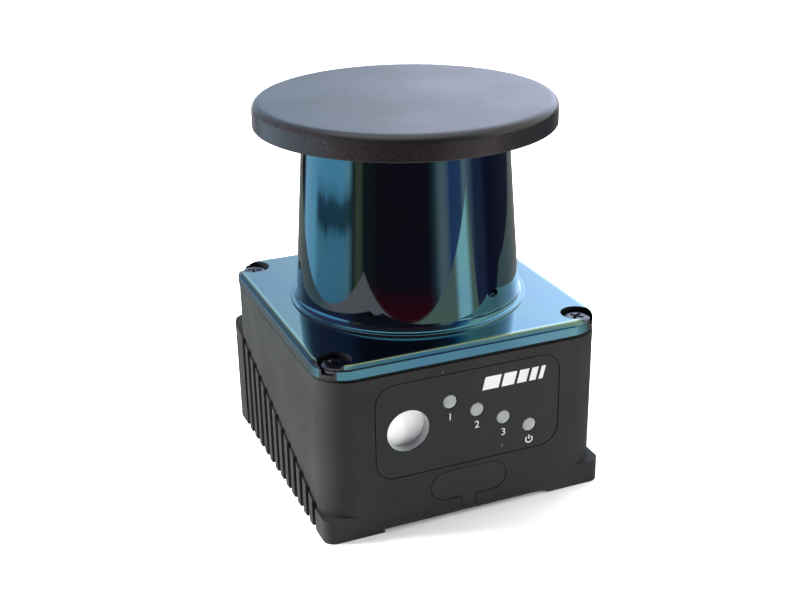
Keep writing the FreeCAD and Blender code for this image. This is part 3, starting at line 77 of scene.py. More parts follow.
# window moulding
FLANGE_HALF = window_high.x / MM
FLANGE_BOTTOM = window_low.z / MM
FLANGE_TOP = FLANGE_BOTTOM + 4.0
FLANGE_CORNER = 9.2
FLANGE_LOWER_EDGE = 0.3
FLANGE_SLOPE_WIDTH = 1.05
FLANGE_SLOPE_HEIGHT = 1.15
DOME_TOP = window_high.z / MM
DOME_FOOT = 30.8
DOME_FOOT_HEIGHT = 48.0
DOME_TAPER = 0.0726
DOME_WALL = 2.6
RING_RADIUS = 32.4
RING_HEIGHT = 0.5
FLARE_HEIGHT = 2.6
FLARE_WIDTH = 0.9
COUNTERBORE = 4.3
SCREW_HEAD = 3.6
SCREW_SHANK = 1.95
SCREW_LENGTH = 14.0
SCREW_PLACE = screws_high.x / MM - SCREW_HEAD
SCREW_TOP = screws_high.z / MM
SCREW_SEAT = SCREW_TOP - 1.7
SCREW_HOLE = 2.3
# how far each screw has been turned, in radians
SCREW_TURNS = (0.35, 1.2, 0.62, 0.1)

# cap
CAP_RADIUS = cap_high.x / MM
CAP_BOTTOM = cap_low.z / MM
CAP_TOP = cap_high.z / MM
CAP_ROUNDING = 2.3
CAP_POCKET = 23.2
CAP_POCKET_TOP = CAP_TOP - 2.1
CAP_GROOVE = (24.4, 27.5)
CAP_GROOVE_TOP = CAP_BOTTOM + 2.2

# front panel
LABEL_FRONT = label_low.y / MM
INK_THICKNESS = 0.03
INK_FRONT = LABEL_FRONT - INK_THICKNESS
LED_STEP = (7.65, -3.88)
PIPE_COLLAR = 2.6
FIRST_LED = (pipes_low.x / MM + PIPE_COLLAR, pipes_high.z / MM - PIPE_COLLAR)
LIGHT_COUNT = 4
FIGURE_DROP = 4.3
FIGURE_SIZE = 2.9
POWER_RADIUS = 0.95
STROKE = 0.17
ARC_STEPS = 40
STRIPES_PLACE = (12.6, 37.0)
STRIPE_WIDTHS = (4.6, 3.6, 2.7, 1.9, 1.2)
STRIPES_REACH = 8.6
STRIPE_HEIGHT = 3.6
STRIPE_SLANT = 0.9
STRIPE_GAP = 0.85

# rear connector
SHANK_RADIUS = 6.15
THREAD_RADIUS = 6.0
THREAD_PITCH = 1.0
THREAD_DEPTH = 0.5
THREAD_STEPS = 96
SOCKET_BORE = 4.9
CONNECTOR_FLANGE = 1.8


# ---------------------------------------------------------------- mesh helpers

def linked(name, mesh):
    item = bpy.data.objects.new(name, mesh)
    bpy.context.scene.collection.objects.link(item)
    return item


def lofted(name, rings):
    """A closed solid through rings of points."""
    builder = bmesh.new()
    loops = [[builder.verts.new(Vector(point) * MM) for point in ring] for ring in rings]
    builder.faces.new(reversed(loops[0]))
    builder.faces.new(loops[-1])
    for low, high in zip(loops, loops[1:]):
        for here in range(len(low)):
            there = (here + 1) % len(low)
            builder.faces.new((low[here], low[there], high[there], high[here]))
    bmesh.ops.recalc_face_normals(builder, faces=builder.faces)
    mesh = bpy.data.meshes.new(name)
    builder.to_mesh(mesh)
    builder.free()
    return linked(name, mesh)


def circle(radius, height, segments, centre=(0.0, 0.0)):
    return [(centre[0] + radius * math.cos(TURN * index / segments),
             centre[1] + radius * math.sin(TURN * index / segments), height)
            for index in range(segments)]


def turned(name, profile, segments=192, centre=(0.0, 0.0)):
    """A turned solid; the profile is a list of (radius, height)."""
    return lofted(name, [circle(radius, height, segments, centre) for radius, height in profile])


def quarter_turns():
    """Angles from 0 to 90 degrees, in even steps."""
    return [QUARTER * step / ROUNDING_STEPS for step in range(ROUNDING_STEPS + 1)]


def eased(points, steps=4):
    """A profile whose corners are rounded; each point is (across, up, length of the corner cut)."""
    result = []
    for index, (across, up, length) in enumerate(points):
        here = Vector((across, up))
        if length == 0 or index in (0, len(points) - 1):
            result.append(tuple(here))
            continue
        before = here + (Vector(points[index - 1][:2]) - here).normalized() * length
        after = here + (Vector(points[index + 1][:2]) - here).normalized() * length
        for step in range(steps + 1):
            share = step / steps
            spot = before * (1 - share) ** 2 + here * 2 * share * (1 - share) + after * share ** 2
            result.append(tuple(spot))
    return result


def rounded_square(half, radius, height):
    """A square outline with round corners, seen from above, anticlockwise."""
    points = []
    for corner in range(4):
        turn = corner * QUARTER
        middle = Matrix.Rotation(turn, 2) @ Vector((half - radius, half - radius))
        for step in range(CORNER_STEPS + 1):
            angle = turn + QUARTER * step / CORNER_STEPS
            across = middle.x + radius * math.cos(angle)
            along = middle.y + radius * math.sin(angle)
            points.append((across, along, height))
    return points


def plate(name, outline, front, back):
    """A flat outline given as (across, up), standing upright between two depths along Y."""
    rings = [[(across, depth, up) for across, up in outline] for depth in (front, back)]
    return lofted(name, rings)


def baked(item):
    """The object's mesh with its modifiers applied."""
    bpy.context.view_layer.update()
    graph = bpy.context.evaluated_depsgraph_get()
    mesh = bpy.data.meshes.new_from_object(item.evaluated_get(graph), preserve_all_data_layers=True,
                                           depsgraph=graph)
    item.modifiers.clear()
    item.data = mesh
    return item


def carved(item, tools, operation="DIFFERENCE"):
    """Boolean with each tool in turn; the tools are removed."""
    for tool in tools:
        modifier = item.modifiers.new("carve", "BOOLEAN")
        modifier.operation = operation
        modifier.solver = "EXACT"
        modifier.object = tool
    baked(item)
    for tool in tools:
        bpy.data.objects.remove(tool)
    return item


def smoothed(item, bevel=0.0, segments=2, sharp=32.0):
    """Edges rounded by 'bevel' millimetres, then smooth shading that keeps flat faces flat.

    Edges that turn by more than 'sharp' degrees are rounded, and clearly sharper ones stay sharp.
    """
    if bevel:
        modifier = item.modifiers.new("bevel", "BEVEL")
        modifier.width = bevel * MM
        modifier.segments = segments
        modifier.limit_method = "ANGLE"
        modifier.angle_limit = math.radians(sharp)
        modifier.use_clamp_overlap = True
        modifier.miter_outer = "MITER_ARC"
        baked(item)
    for polygon in item.data.polygons:
        polygon.use_smooth = True
    item.data.set_sharp_from_angle(angle=math.radians(sharp + STAYS_SHARP))
    weigh = item.modifiers.new("weighted_normals", "WEIGHTED_NORMAL")
    weigh.keep_sharp = True
    return baked(item)


def copied(name, node):
    """A new object from a CAD node's mesh, with the triangles of each flat face merged."""
    builder = bmesh.new()
    builder.from_mesh(nodes[node].data)
    bmesh.ops.remove_doubles(builder, verts=builder.verts, dist=SAME_POINT * MM)
    bmesh.ops.dissolve_limit(builder, angle_limit=math.radians(FLAT_ANGLE), verts=builder.verts,
                             edges=builder.edges)
    mesh = bpy.data.meshes.new(name)
    builder.to_mesh(mesh)
    builder.free()
    custom = mesh.attributes.get("custom_normal")
    if custom is not None:
        mesh.attributes.remove(custom)
    return linked(name, mesh)


def painted(item, *materials):
    item.data.materials.clear()
    for material in materials:
        item.data.materials.append(material)
    return item


def stands_for(item, node, body="base"):
    """The piece rides on a body and is shown instead of a CAD node."""
    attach(item, body)
    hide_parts(node)
    return item


# ---------------------------------------------------------------- material helpers

# dust: distance between specks in millimetres, their radius as a share of it, cover and colour
SPECK_SPACING = 1.9
SPECK_RADIUS = 0.17
DUST_COVER = 0.8
DUST_COLOUR = (0.075, 0.078, 0.078)


def add_node(tree, kind, inputs=None, **settings):
    """A shader node; an input given as a socket is linked, any other value is set."""
    item = tree.nodes.new(kind)
    for key, value in settings.items():
        setattr(item, key, value)
    for key, value in (inputs or {}).items():
        if isinstance(value, bpy.types.NodeSocket):
            tree.links.new(value, item.inputs[key])
        else:
            item.inputs[key].default_value = value
    return item


def maths(tree, operation, first, second=0.0):
    return add_node(tree, "ShaderNodeMath", {0: first, 1: second}, operation=operation).outputs[0]


def noise(tree, place, size, detail=3.0):
    """Noise whose grains are about 'size' millimetres across."""
    inputs = {"Vector": place, "Scale": 1 / (size * MM), "Detail": detail}
    return add_node(tree, "ShaderNodeTexNoise", inputs).outputs["Fac"]


def ranged(tree, value, start, end, low=0.0, high=1.0, smooth=False):
    """A value between 'start' and 'end' carried over to the range from 'low' to 'high'."""
    inputs = {"Value": value, "From Min": start, "From Max": end, "To Min": low, "To Max": high}
    kind = "SMOOTHSTEP" if smooth else "LINEAR"
    return add_node(tree, "ShaderNodeMapRange", inputs, interpolation_type=kind).outputs[0]


def spread(tree, value, low, high):
    """Noise, which mostly lies between 0.3 and 0.7, spread out to a range of values."""
    return ranged(tree, value, 0.3, 0.7, low, high)


def blended(tree, share, first, second, mode="MIX"):
    """A colour between two, by a share from 0 to 1."""
    mix = add_node(tree, "ShaderNodeMix", data_type="RGBA", blend_type=mode)
    for index, value in ((0, share), (6, first), (7, second)):
        if isinstance(value, bpy.types.NodeSocket):
            tree.links.new(value, mix.inputs[index])
        else:
            mix.inputs[index].default_value = value if index == 0 else (*value, 1.0)
    return mix.outputs[2]


def specks(tree, place, rarity):
    """A mask of small round dots: one Voronoi cell in 1 / (1 - rarity) has one."""
    cells = add_node(tree, "ShaderNodeTexVoronoi", {"Vector": place, "Scale": 1 / (SPECK_SPACING * MM)})
    near = maths(tree, "LESS_THAN", cells.outputs["Distance"], SPECK_RADIUS)
    chosen = add_node(tree, "ShaderNodeSeparateColor", {"Color": cells.outputs["Color"]})
    return maths(tree, "MULTIPLY", near, maths(tree, "GREATER_THAN", chosen.outputs[0], rarity))


def material(name, **sockets):
    """A Principled material; socket names are written with underscores."""
    made = bpy.data.materials.new(name)
    made.use_nodes = True
    shader = made.node_tree.nodes["Principled BSDF"]
    for label, value in sockets.items():
        key = label.replace("_", " ").title().replace("Ior", "IOR")
        if isinstance(value, tuple) and len(value) == 3:
            value = (*value, 1.0)
        shader.inputs[key].default_value = value
    place = add_node(made.node_tree, "ShaderNodeTexCoord").outputs["Object"]
    return made, made.node_tree, shader, place


def relief(tree, shader, height, depth):
    """Small bumps, 'depth' millimetres high."""
    bump = add_node(tree, "ShaderNodeBump", {"Height": height, "Distance": depth * MM, "Strength": 1.0})
    tree.links.new(bump.outputs[0], shader.inputs["Normal"])


def grained(name, colour, roughness, grain=0.3, depth=0.02, mottle=0.12, mottle_size=14.0, dust=0.0,
            **sockets):
    """A finish with mottled colour, a fine grain in relief, uneven gloss and a little dust."""
    made, tree, shader, place = material(name, **sockets)
    broad = noise(tree, place, mottle_size)
    fine = noise(tree, place, grain, detail=2.0)
    dark = tuple(part * (1 - mottle) for part in colour)
    light = tuple(part * (1 + mottle) for part in colour)
    tone = blended(tree, spread(tree, broad, 0.0, 1.0), dark, light)
    if dust:
        cover = maths(tree, "MULTIPLY", specks(tree, place, 1 - dust), DUST_COVER)
        tone = blended(tree, cover, tone, DUST_COLOUR)
    tree.links.new(tone, shader.inputs["Base Color"])
    gloss = maths(tree, "ADD", spread(tree, broad, -0.04, 0.04), spread(tree, fine, -0.05, 0.05))
    tree.links.new(maths(tree, "ADD", gloss, roughness), shader.inputs["Roughness"])
    relief(tree, shader, fine, depth)
    return made


def brushed(name, colour, roughness, stretch=(1.0, 1.0, 0.04), size=0.25, depth=0.004, **sockets):
    """Metal with fine lines along one direction."""
    made, tree, shader, place = material(name, metallic=1.0, **sockets)
    lines = add_node(tree, "ShaderNodeMapping", {"Vector": place, "Scale": stretch}).outputs[0]
    fine = noise(tree, lines, size, detail=2.0)
    broad = noise(tree, place, 9.0)
    dark = tuple(part * 0.86 for part in colour)
    tree.links.new(blended(tree, spread(tree, broad, 0.0, 1.0), dark, colour), shader.inputs["Base Color"])
    gloss = maths(tree, "ADD", spread(tree, fine, -0.07, 0.07), roughness)
    tree.links.new(gloss, shader.inputs["Roughness"])
    relief(tree, shader, fine, depth)
    return made


# ---------------------------------------------------------------- materials of the outside

# the coating on each zone of the window, and its colour near the flange's outer edge. Each zone's colour is
# the coating's own blue with painted reflection for its slope: the flat face painted brighter, the upright
# side darker and the sloping edge a yellow-green painted highlight
SLOPE_SHEEN_COATINGS = {
    "dome": ((0.048, 0.205, 0.275), None),
    "face": ((0.11, 0.34, 0.44), (0.23, 0.38, 0.31)),
    "edge": ((0.24, 0.26, 0.10), None),
    "line": ((0.09, 0.22, 0.25), None),
    "side": ((0.05, 0.19, 0.27), None),
}
# the coating's colour where it is thin and where it is thick, as shares of its own colour
THIN_SHARES = (0.85, 0.90, 1.06)
THICK_SHARES = (1.15, 1.08, 0.94)
COATING_WAVE = 0.010
COATING_GLOSS = (0.018, 0.048)
COATING_RIM = 7.0

# finish: (material, colour, roughness, other settings)
FINISHES = {
    "powder_coat": ("powder_coat_black", (0.0135, 0.0145, 0.0143), 0.54,
                    {"grain": 0.42, "depth": 0.075, "mottle": 0.14, "dust": 0.02,
                     "specular_ior_level": 0.14}),
    "cap": ("cap_satin_black", (0.008, 0.008, 0.009), 0.30,
            {"grain": 0.22, "depth": 0.012, "mottle": 0.10, "mottle_size": 22.0, "dust": 0.004,
             "specular_ior_level": 0.62}),
    "label_film": ("label_film", (0.0118, 0.0136, 0.0140), 0.46,
                   {"grain": 0.5, "depth": 0.004, "mottle": 0.08, "dust": 0.01, "specular_ior_level": 0.16}),
    "ink": ("printed_ink_white", (0.40, 0.41, 0.41), 0.5, {"grain": 0.12, "depth": 0.003, "mottle": 0.05}),
    "light_pipe": ("light_pipe_grey", (0.165, 0.175, 0.178), 0.32,
                   {"grain": 0.4, "depth": 0.006, "mottle": 0.15, "mottle_size": 2.5, "coat_weight": 0.4}),
    "tube": ("status_tube_grey", (0.30, 0.315, 0.325), 0.35, {"grain": 0.6, "depth": 0.005, "mottle": 0.08}),
    "diffuser": ("diffuser_white", (0.64, 0.655, 0.66), 0.4,
                 {"grain": 1.4, "depth": 0.004, "mottle": 0.07, "mottle_size": 5.0}),
    "rubber": ("rubber_black", (0.0115, 0.0130, 0.0130), 0.6,
               {"grain": 0.35, "depth": 0.02, "mottle": 0.12, "dust": 0.01, "specular_ior_level": 0.25}),
    "silicone": ("silicone_black", (0.012, 0.012, 0.012), 0.5, {"grain": 0.5, "depth": 0.01}),
    "bore": ("counterbore_black", (0.008, 0.008, 0.010), 0.25, {"grain": 0.6, "depth": 0.004}),
}
METALS = {
    "screw": ("screw_black_oxide", (0.10, 0.098, 0.12), 0.22,
              {"stretch": (1, 1, 1), "size": 0.5, "depth": 0.003}),
    "nickel": ("nickel_plate", (0.62, 0.60, 0.56), 0.22, {"stretch": (1, 0.05, 1)}),
}


def coated(name, colour, rim):
    """Mirror coating that reflects mostly blue light, under a clear hard coat.

    The coating is a little uneven, and its colour turns to 'rim' near the flange's outer edge.
    """
    made, tree, shader, place = material(name, metallic=1.0, coat_weight=0.8, coat_ior=1.5,
                                         coat_roughness=0.03)
    broad = noise(tree, place, 16.0, detail=1.0)
    cloudy = noise(tree, place, 22.0, detail=2.0)
    fine = noise(tree, place, 0.7, detail=2.0)
    thin = tuple(part * share for part, share in zip(colour, THIN_SHARES))
    thick = tuple(part * share for part, share in zip(colour, THICK_SHARES))
    tone = blended(tree, spread(tree, cloudy, 0.0, 1.0), thin, thick)
    if rim:
        parts = add_node(tree, "ShaderNodeSeparateXYZ", {"Vector": place}).outputs
        across, along = (maths(tree, "ABSOLUTE", parts[axis]) for axis in ("X", "Y"))
        reach = maths(tree, "MAXIMUM", across, along)
        near_edge = ranged(tree, reach, (FLANGE_HALF - COATING_RIM) * MM, FLANGE_HALF * MM, smooth=True)
        tone = blended(tree, near_edge, tone, rim)
    tree.links.new(tone, shader.inputs["Base Color"])
    tree.links.new(spread(tree, fine, *COATING_GLOSS), shader.inputs["Roughness"])
    relief(tree, shader, broad, COATING_WAVE)
    return made


def outside_materials():
    made = {}
    # one copy of the coating for each zone, each with the painted reflection colour of its slope
    for zone, (colour, rim) in SLOPE_SHEEN_COATINGS.items():
        made[f"coating_{zone}"] = coated(f"coating_{zone}", colour, rim)
    for finish, (name, colour, roughness, settings) in FINISHES.items():
        made[finish] = grained(name, colour, roughness, **settings)
    for finish, (name, colour, roughness, settings) in METALS.items():
        made[finish] = brushed(name, colour, roughness, **settings)
    return made


# ---------------------------------------------------------------- window moulding

def dome_radius(height):
    return DOME_FOOT - DOME_TAPER * (height - DOME_FOOT_HEIGHT)


def flange_solid():
    """Square plate: small lower edge, upright side, narrow upper line and wide sloping edge."""
    edge = eased([(FLANGE_LOWER_EDGE, FLANGE_BOTTOM, 0), (0.0, FLANGE_BOTTOM + FLANGE_LOWER_EDGE, 0.1),
                  (0.0, FLANGE_TOP - FLANGE_SLOPE_HEIGHT, 0.3), (FLANGE_SLOPE_WIDTH, FLANGE_TOP, 0.3),
                  (FLANGE_SLOPE_WIDTH + 0.95, FLANGE_TOP, 0)], steps=5)
    return lofted("window_moulding", [rounded_square(FLANGE_HALF - inset, FLANGE_CORNER - inset, height)
                                      for inset, height in edge])


def dome_solid():
    """Step ring, concave flare and tapered wall."""
    foot = FLANGE_TOP + RING_HEIGHT
    flare_end = foot + FLARE_HEIGHT
    inner = dome_radius(flare_end)
    reach = dome_radius(foot) + FLARE_WIDTH - inner
    flare = [(inner + reach * (1 - math.sin(angle)), foot + FLARE_HEIGHT * (1 - math.cos(angle)))
             for angle in quarter_turns()]
    ring = eased([(RING_RADIUS, FLANGE_TOP - SPARE, 0), (RING_RADIUS, foot, 0.22), (inner + reach, foot, 0)])
    levels = [flare_end + (DOME_TOP - flare_end) * share for share in (0.25, 0.5, 0.75, 1.0)]
    return turned("dome", ring[:-1] + flare + [(dome_radius(level), level) for level in levels], segments=256)


# zones of the flange, by how far its faces look up (the Z of the normal); each zone carries a coating whose
# colour holds painted reflection for that slope
ZONES_BY_SLOPE = ((0.93, "face"), (0.70, "edge"), (0.40, "line"))
COUNTERBORE_LIP = 0.25
COUNTERBORE_EDGE = 0.15
RING_EDGE = 0.3
RING_FOOT = 0.1
LEVEL_SLACK = 0.02


def coating_zone(centre, normal):
    """Which coating a face of the window carries."""
    radius = math.hypot(centre.x, centre.y)
    across = math.hypot(abs(centre.x) - SCREW_PLACE, abs(centre.y) - SCREW_PLACE)
    if across < COUNTERBORE + COUNTERBORE_LIP and centre.z < FLANGE_TOP - COUNTERBORE_EDGE:
        return "bore"
    if radius < RING_RADIUS - RING_EDGE and centre.z > FLANGE_TOP:
        return "dome"
    if centre.z > FLANGE_TOP - LEVEL_SLACK and radius < RING_RADIUS + RING_FOOT:
        return "line"
    for lowest, zone in ZONES_BY_SLOPE:
        if normal.z > lowest:
            return zone
    return "side"


def window_moulding(finish):
    item = carved(flange_solid(), [dome_solid()], "UNION")
    bore = turned("bore", [(dome_radius(height) - DOME_WALL, height)
                           for height in (FLANGE_BOTTOM - SPARE, DOME_TOP + SPARE)], segments=96)
    tools = [bore]
    for across in SIDES:
        for along in SIDES:
            centre = (across * SCREW_PLACE, along * SCREW_PLACE)
            tools.append(turned("sink", [(COUNTERBORE, SCREW_SEAT), (COUNTERBORE, FLANGE_TOP + 2 * SPARE)],
                                segments=64, centre=centre))
            tools.append(turned("hole", [(SCREW_HOLE, FLANGE_BOTTOM - SPARE), (SCREW_HOLE, FLANGE_TOP)],
                                segments=48, centre=centre))
    carved(item, tools)
    smoothed(item, bevel=0.12, segments=2, sharp=38.0)
    zones = ("dome", "face", "edge", "line", "side", "bore")
    painted(item, *[finish["bore"] if zone == "bore" else finish[f"coating_{zone}"] for zone in zones])
    # each face takes the coating copy with the painted reflection colour for its zone
    for polygon in item.data.polygons:
        polygon.material_index = zones.index(coating_zone(polygon.center / MM, polygon.normal))
    return stands_for(item, "optical_window")


# ---------------------------------------------------------------- cap, screws and housing

def cap_disc(finish):
    """Satin disc: round upper edge, small lower edge, pocket and groove in its underside."""
    inner, outer = CAP_GROOVE
    under = [(CAP_POCKET, CAP_POCKET_TOP, 0), (CAP_POCKET, CAP_BOTTOM, 0), (inner, CAP_BOTTOM, 0),
             (inner, CAP_GROOVE_TOP, 0), (outer, CAP_GROOVE_TOP, 0), (outer, CAP_BOTTOM, 0),
             (CAP_RADIUS, CAP_BOTTOM, 0.25)]
    middle = CAP_RADIUS - CAP_ROUNDING
    over = [(middle + CAP_ROUNDING * math.cos(angle),
             CAP_TOP - CAP_ROUNDING + CAP_ROUNDING * math.sin(angle)) for angle in quarter_turns()]
    under.append((*over[0], 0))
    top = [(middle * share, CAP_TOP) for share in (0.97, 0.7, 0.35)]
    item = turned("cap_disc", eased(under)[:-1] + over + top, segments=256)
    painted(smoothed(item, sharp=30.0), finish["cap"])
    return stands_for(item, "top_cap")


def cross_outline(reach, width, height):
    """The plus-shaped outline of a cross recess."""
    corners = [(reach, width), (width, width), (width, reach)]
    points = []
    for quarter in range(4):
        turn = Matrix.Rotation(quarter * QUARTER, 2)
        for corner in corners:
            spot = turn @ Vector(corner)
            points.append((spot.x, spot.y, height))
    return points


def flange_screw(number, across, along, turn, finish):
    """Pan-head screw with a tapered cross recess and a plain shank in its hole."""
    tip = SCREW_SEAT - SCREW_LENGTH
    profile = eased([(SCREW_SHANK - 0.4, tip, 0), (SCREW_SHANK, tip + 0.5, 0), (SCREW_SHANK, SCREW_SEAT, 0),
                     (SCREW_HEAD, SCREW_SEAT, 0.15), (SCREW_HEAD, SCREW_TOP - 0.35, 0.3),
                     (SCREW_HEAD - 0.9, SCREW_TOP, 0.5), (1.0, SCREW_TOP, 0)])
    item = turned(f"flange_screw_{number}", profile, segments=96)
    recess = lofted("recess", [cross_outline(1.1, 0.28, SCREW_TOP - 1.1),
                               cross_outline(2.1, 0.5, SCREW_TOP + 0.2)])
    carved(item, [recess])
    smoothed(item, bevel=0.06, segments=2, sharp=35.0)
    place = Matrix.Translation(Vector((across, along, 0)) * MM)
    item.data.transform(place @ Matrix.Rotation(turn, 4, "Z"))
    painted(item, finish["screw"])
    return stands_for(item, "flange_screws")


def flange_screws(finish):
    places = [(across * SCREW_PLACE, along * SCREW_PLACE) for across in SIDES for along in SIDES]
    for number, ((across, along), turn) in enumerate(zip(places, SCREW_TURNS), start=1):
        flange_screw(number, across, along, turn, finish)


def refined(name, node, finish, bevel, segments=2, body="base"):
    """A CAD shape with its edges rounded."""
    item = smoothed(copied(name, node), bevel=bevel, segments=segments)
    painted(item, finish)
    return stands_for(item, node, body)


# ---------------------------------------------------------------- printed marks

def printed(item, finish):
    painted(item, finish["ink"])
    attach(item, "base")
    return item


def numeral(text, across, up, finish):
    """A printed figure on the label."""
    curve = bpy.data.curves.new(f"numeral_{text}", "FONT")
    curve.body = text
    curve.size = FIGURE_SIZE * MM
    curve.extrude = INK_THICKNESS / 2 * MM
    curve.align_x = "CENTER"
    curve.align_y = "CENTER"
    source = linked("figure", curve)
    bpy.context.view_layer.update()
    graph = bpy.context.evaluated_depsgraph_get()
    mesh = bpy.data.meshes.new_from_object(source.evaluated_get(graph))
    bpy.data.objects.remove(source)
    place = Matrix.Translation(Vector((across, LABEL_FRONT - INK_THICKNESS / 2, up)) * MM)
    mesh.transform(place @ Matrix.Rotation(QUARTER, 4, "X"))
    return printed(linked(f"numeral_{text}", mesh), finish)


def arc_band(centre, inner, outer, start, end):
    """Outline of a part of a ring, angles in degrees."""
    outline = []
    for radius, first, last in ((outer, start, end), (inner, end, start)):
        for step in range(ARC_STEPS + 1):
            angle = math.radians(first + (last - first) * step / ARC_STEPS)
            outline.append((centre[0] + radius * math.cos(angle), centre[1] + radius * math.sin(angle)))
    return outline


def power_symbol(across, up, finish):
    """Open ring and short upright stroke."""
    outline = arc_band((across, up), POWER_RADIUS - STROKE, POWER_RADIUS + STROKE, 130, 410)
    printed(plate("power_ring", outline, INK_FRONT, LABEL_FRONT), finish)
    low, high = up + 0.1, up + POWER_RADIUS + 0.35
    bar = [(across - STROKE, low), (across + STROKE, low), (across + STROKE, high), (across - STROKE, high)]
    printed(plate("power_bar", bar, INK_FRONT, LABEL_FRONT), finish)


def stripe_mark(finish):
    """Plain mark: a row of slanted bars that get narrower to the right."""
    lean = STRIPE_SLANT / 2
    start = STRIPES_PLACE[0] - STRIPES_REACH
    low, high = STRIPES_PLACE[1] - STRIPE_HEIGHT / 2, STRIPES_PLACE[1] + STRIPE_HEIGHT / 2
    for number, width in enumerate(STRIPE_WIDTHS, start=1):
        end = start + width
        bar = [(start - lean, low), (end - lean, low), (end + lean, high), (start + lean, high)]
        printed(plate(f"stripe_{number}", bar, INK_FRONT, LABEL_FRONT), finish)
        start = end + STRIPE_GAP


def printed_marks(finish):
    """A figure under each of the first lights, the power symbol under the last and the mark."""
    places = [(FIRST_LED[0] + number * LED_STEP[0], FIRST_LED[1] + number * LED_STEP[1] - FIGURE_DROP)
              for number in range(LIGHT_COUNT)]
    for number, (across, up) in enumerate(places[:-1], start=1):
        numeral(str(number), across, up, finish)
    power_symbol(*places[-1], finish)
    stripe_mark(finish)


# ---------------------------------------------------------------- rear connector

def thread_ring(height):
    """One ring of a screw thread: the radius falls and rises once each turn and each pitch."""
    ring = []
    for index in range(THREAD_STEPS):
        phase = (height / THREAD_PITCH - index / THREAD_STEPS) % 1.0
        radius = THREAD_RADIUS - THREAD_DEPTH * (1 - abs(2 * phase - 1)) ** 0.8
        angle = TURN * index / THREAD_STEPS
        ring.append((radius * math.cos(angle), radius * math.sin(angle), height))
    return ring


def connector_body(finish):
    """Flange against the rear wall, M12 thread and the bore that holds the insert."""
    wall_face = seal_low.y / MM
    inner_end, tip = shell_low.y / MM, shell_high.y / MM
    centre_height = (shell_low.z + shell_high.z) / 2 / MM
    flange, flange_end = shell_high.x / MM, wall_face + CONNECTOR_FLANGE
    relieved = THREAD_RADIUS - THREAD_DEPTH
    start = eased([(SOCKET_BORE + 0.1, inner_end, 0), (SHANK_RADIUS, inner_end, 0.2),
                   (SHANK_RADIUS, wall_face, 0), (flange, wall_face, 0.2), (flange, flange_end, 0.4),
                   (relieved, flange_end, 0.0), (relieved, flange_end + 0.7, 0.0)])
    end = [(relieved, tip - 0.35), (relieved - 0.2, tip), (SOCKET_BORE + 0.15, tip),
           (SOCKET_BORE, tip - 0.2), (SOCKET_BORE, insert_high.y / MM - 0.4)]
    thread_start, thread_end = flange_end + 0.8, tip - 0.5
    rings = [circle(radius, height, THREAD_STEPS) for radius, height in start]
    for step in range(THREAD_STEPS + 1):
        rings.append(thread_ring(thread_start + (thread_end - thread_start) * step / THREAD_STEPS))
    rings += [circle(radius, height, THREAD_STEPS) for radius, height in end]
    item = lofted("connector_body", rings)
    place = Matrix.Translation((0, 0, centre_height * MM))
    item.data.transform(place @ Matrix.Rotation(-QUARTER, 4, "X"))
    painted(smoothed(item, sharp=30.0), finish["nickel"])
    return stands_for(item, "connector_shell")


# ---------------------------------------------------------------- materials of the inside

INSIDE = {
    # slot: (kind, colour, roughness, grain size in millimetres)
    "board_green": ("grained", (0.012, 0.10, 0.045), 0.35, 1.2),
    "chip_black": ("grained", (0.022, 0.022, 0.024), 0.5, 0.2),
    "can_aluminium": ("brushed", (0.78, 0.79, 0.80), 0.25, 0.3),
    "socket_plastic": ("grained", (0.68, 0.64, 0.54), 0.45, 0.6),
    "led_white": ("grained", (0.85, 0.80, 0.55), 0.35, 0.3),
    "aluminium_turned": ("brushed", (0.74, 0.75, 0.77), 0.30, 0.2),
    "bracket_black": ("grained", (0.030, 0.030, 0.034), 0.40, 0.3),
    "bearing_steel": ("brushed", (0.72, 0.72, 0.73), 0.12, 0.4),
    "cage_brass": ("brushed", (0.78, 0.56, 0.24), 0.30, 0.3),
    "lamination_steel": ("brushed", (0.28, 0.28, 0.30), 0.45, 0.35),
    "copper_wire": ("brushed", (0.80, 0.36, 0.16), 0.28, 0.4),
    "magnet_ferrite": ("grained", (0.09, 0.09, 0.10), 0.55, 0.3),
    "disc_film": ("grained", (0.05, 0.05, 0.06), 0.20, 1.5),
    "flex_orange": ("grained", (0.55, 0.24, 0.05), 0.35, 0.8),
    "contact_gold": ("brushed", (0.90, 0.66, 0.26), 0.18, 0.3),
    "screw_steel": ("brushed", (0.60, 0.60, 0.62), 0.28, 0.3),
    "wire_sleeve": ("grained", (0.33, 0.035, 0.030), 0.45, 0.5),
    "mirror_glass": ("brushed", (0.92, 0.92, 0.93), 0.03, 2.0),
}


def lens_glass():
    made, tree, shader, place = material("lens_glass", ior=1.52, transmission_weight=1.0,
                                         base_color=(0.85, 0.93, 0.95), coat_weight=0.3)
    tree.links.new(spread(tree, noise(tree, place, 1.5), 0.01, 0.05), shader.inputs["Roughness"])
    return made


def inside_materials(finish):
    makers = {"grained": grained, "brushed": brushed}
    made = {}
    for slot, (kind, colour, roughness, grain) in INSIDE.items():
        size = {"grain": grain} if kind == "grained" else {"size": grain}
        made[slot] = makers[kind](f"inside_{slot}", colour, roughness, **size)
    made["lens_glass"] = lens_glass()
    made.update({"silicone_black": finish["silicone"], "rubber_black": finish["rubber"],
                 "nickel_plate": finish["nickel"], "screw_black": finish["screw"],
                 "light_pipe": finish["tube"], "diffuser_white": finish["diffuser"],
                 "overlay_film": finish["label_film"], "housing_paint": finish["powder_coat"],
                 "window_coating": finish["coating_dome"], "cap_plastic": finish["cap"]})
    return made


def paint_cad_nodes(finish):
    """Every node that stays as designed takes the material of its slot in the record."""
    made = inside_materials(finish)
    for part in frame["record"]["subparts"]:
        item = nodes[part["node"]]
        for index in range(len(item.data.materials)):
            item.data.materials[index] = made[part["material_slot"]]


# ---------------------------------------------------------------- studio

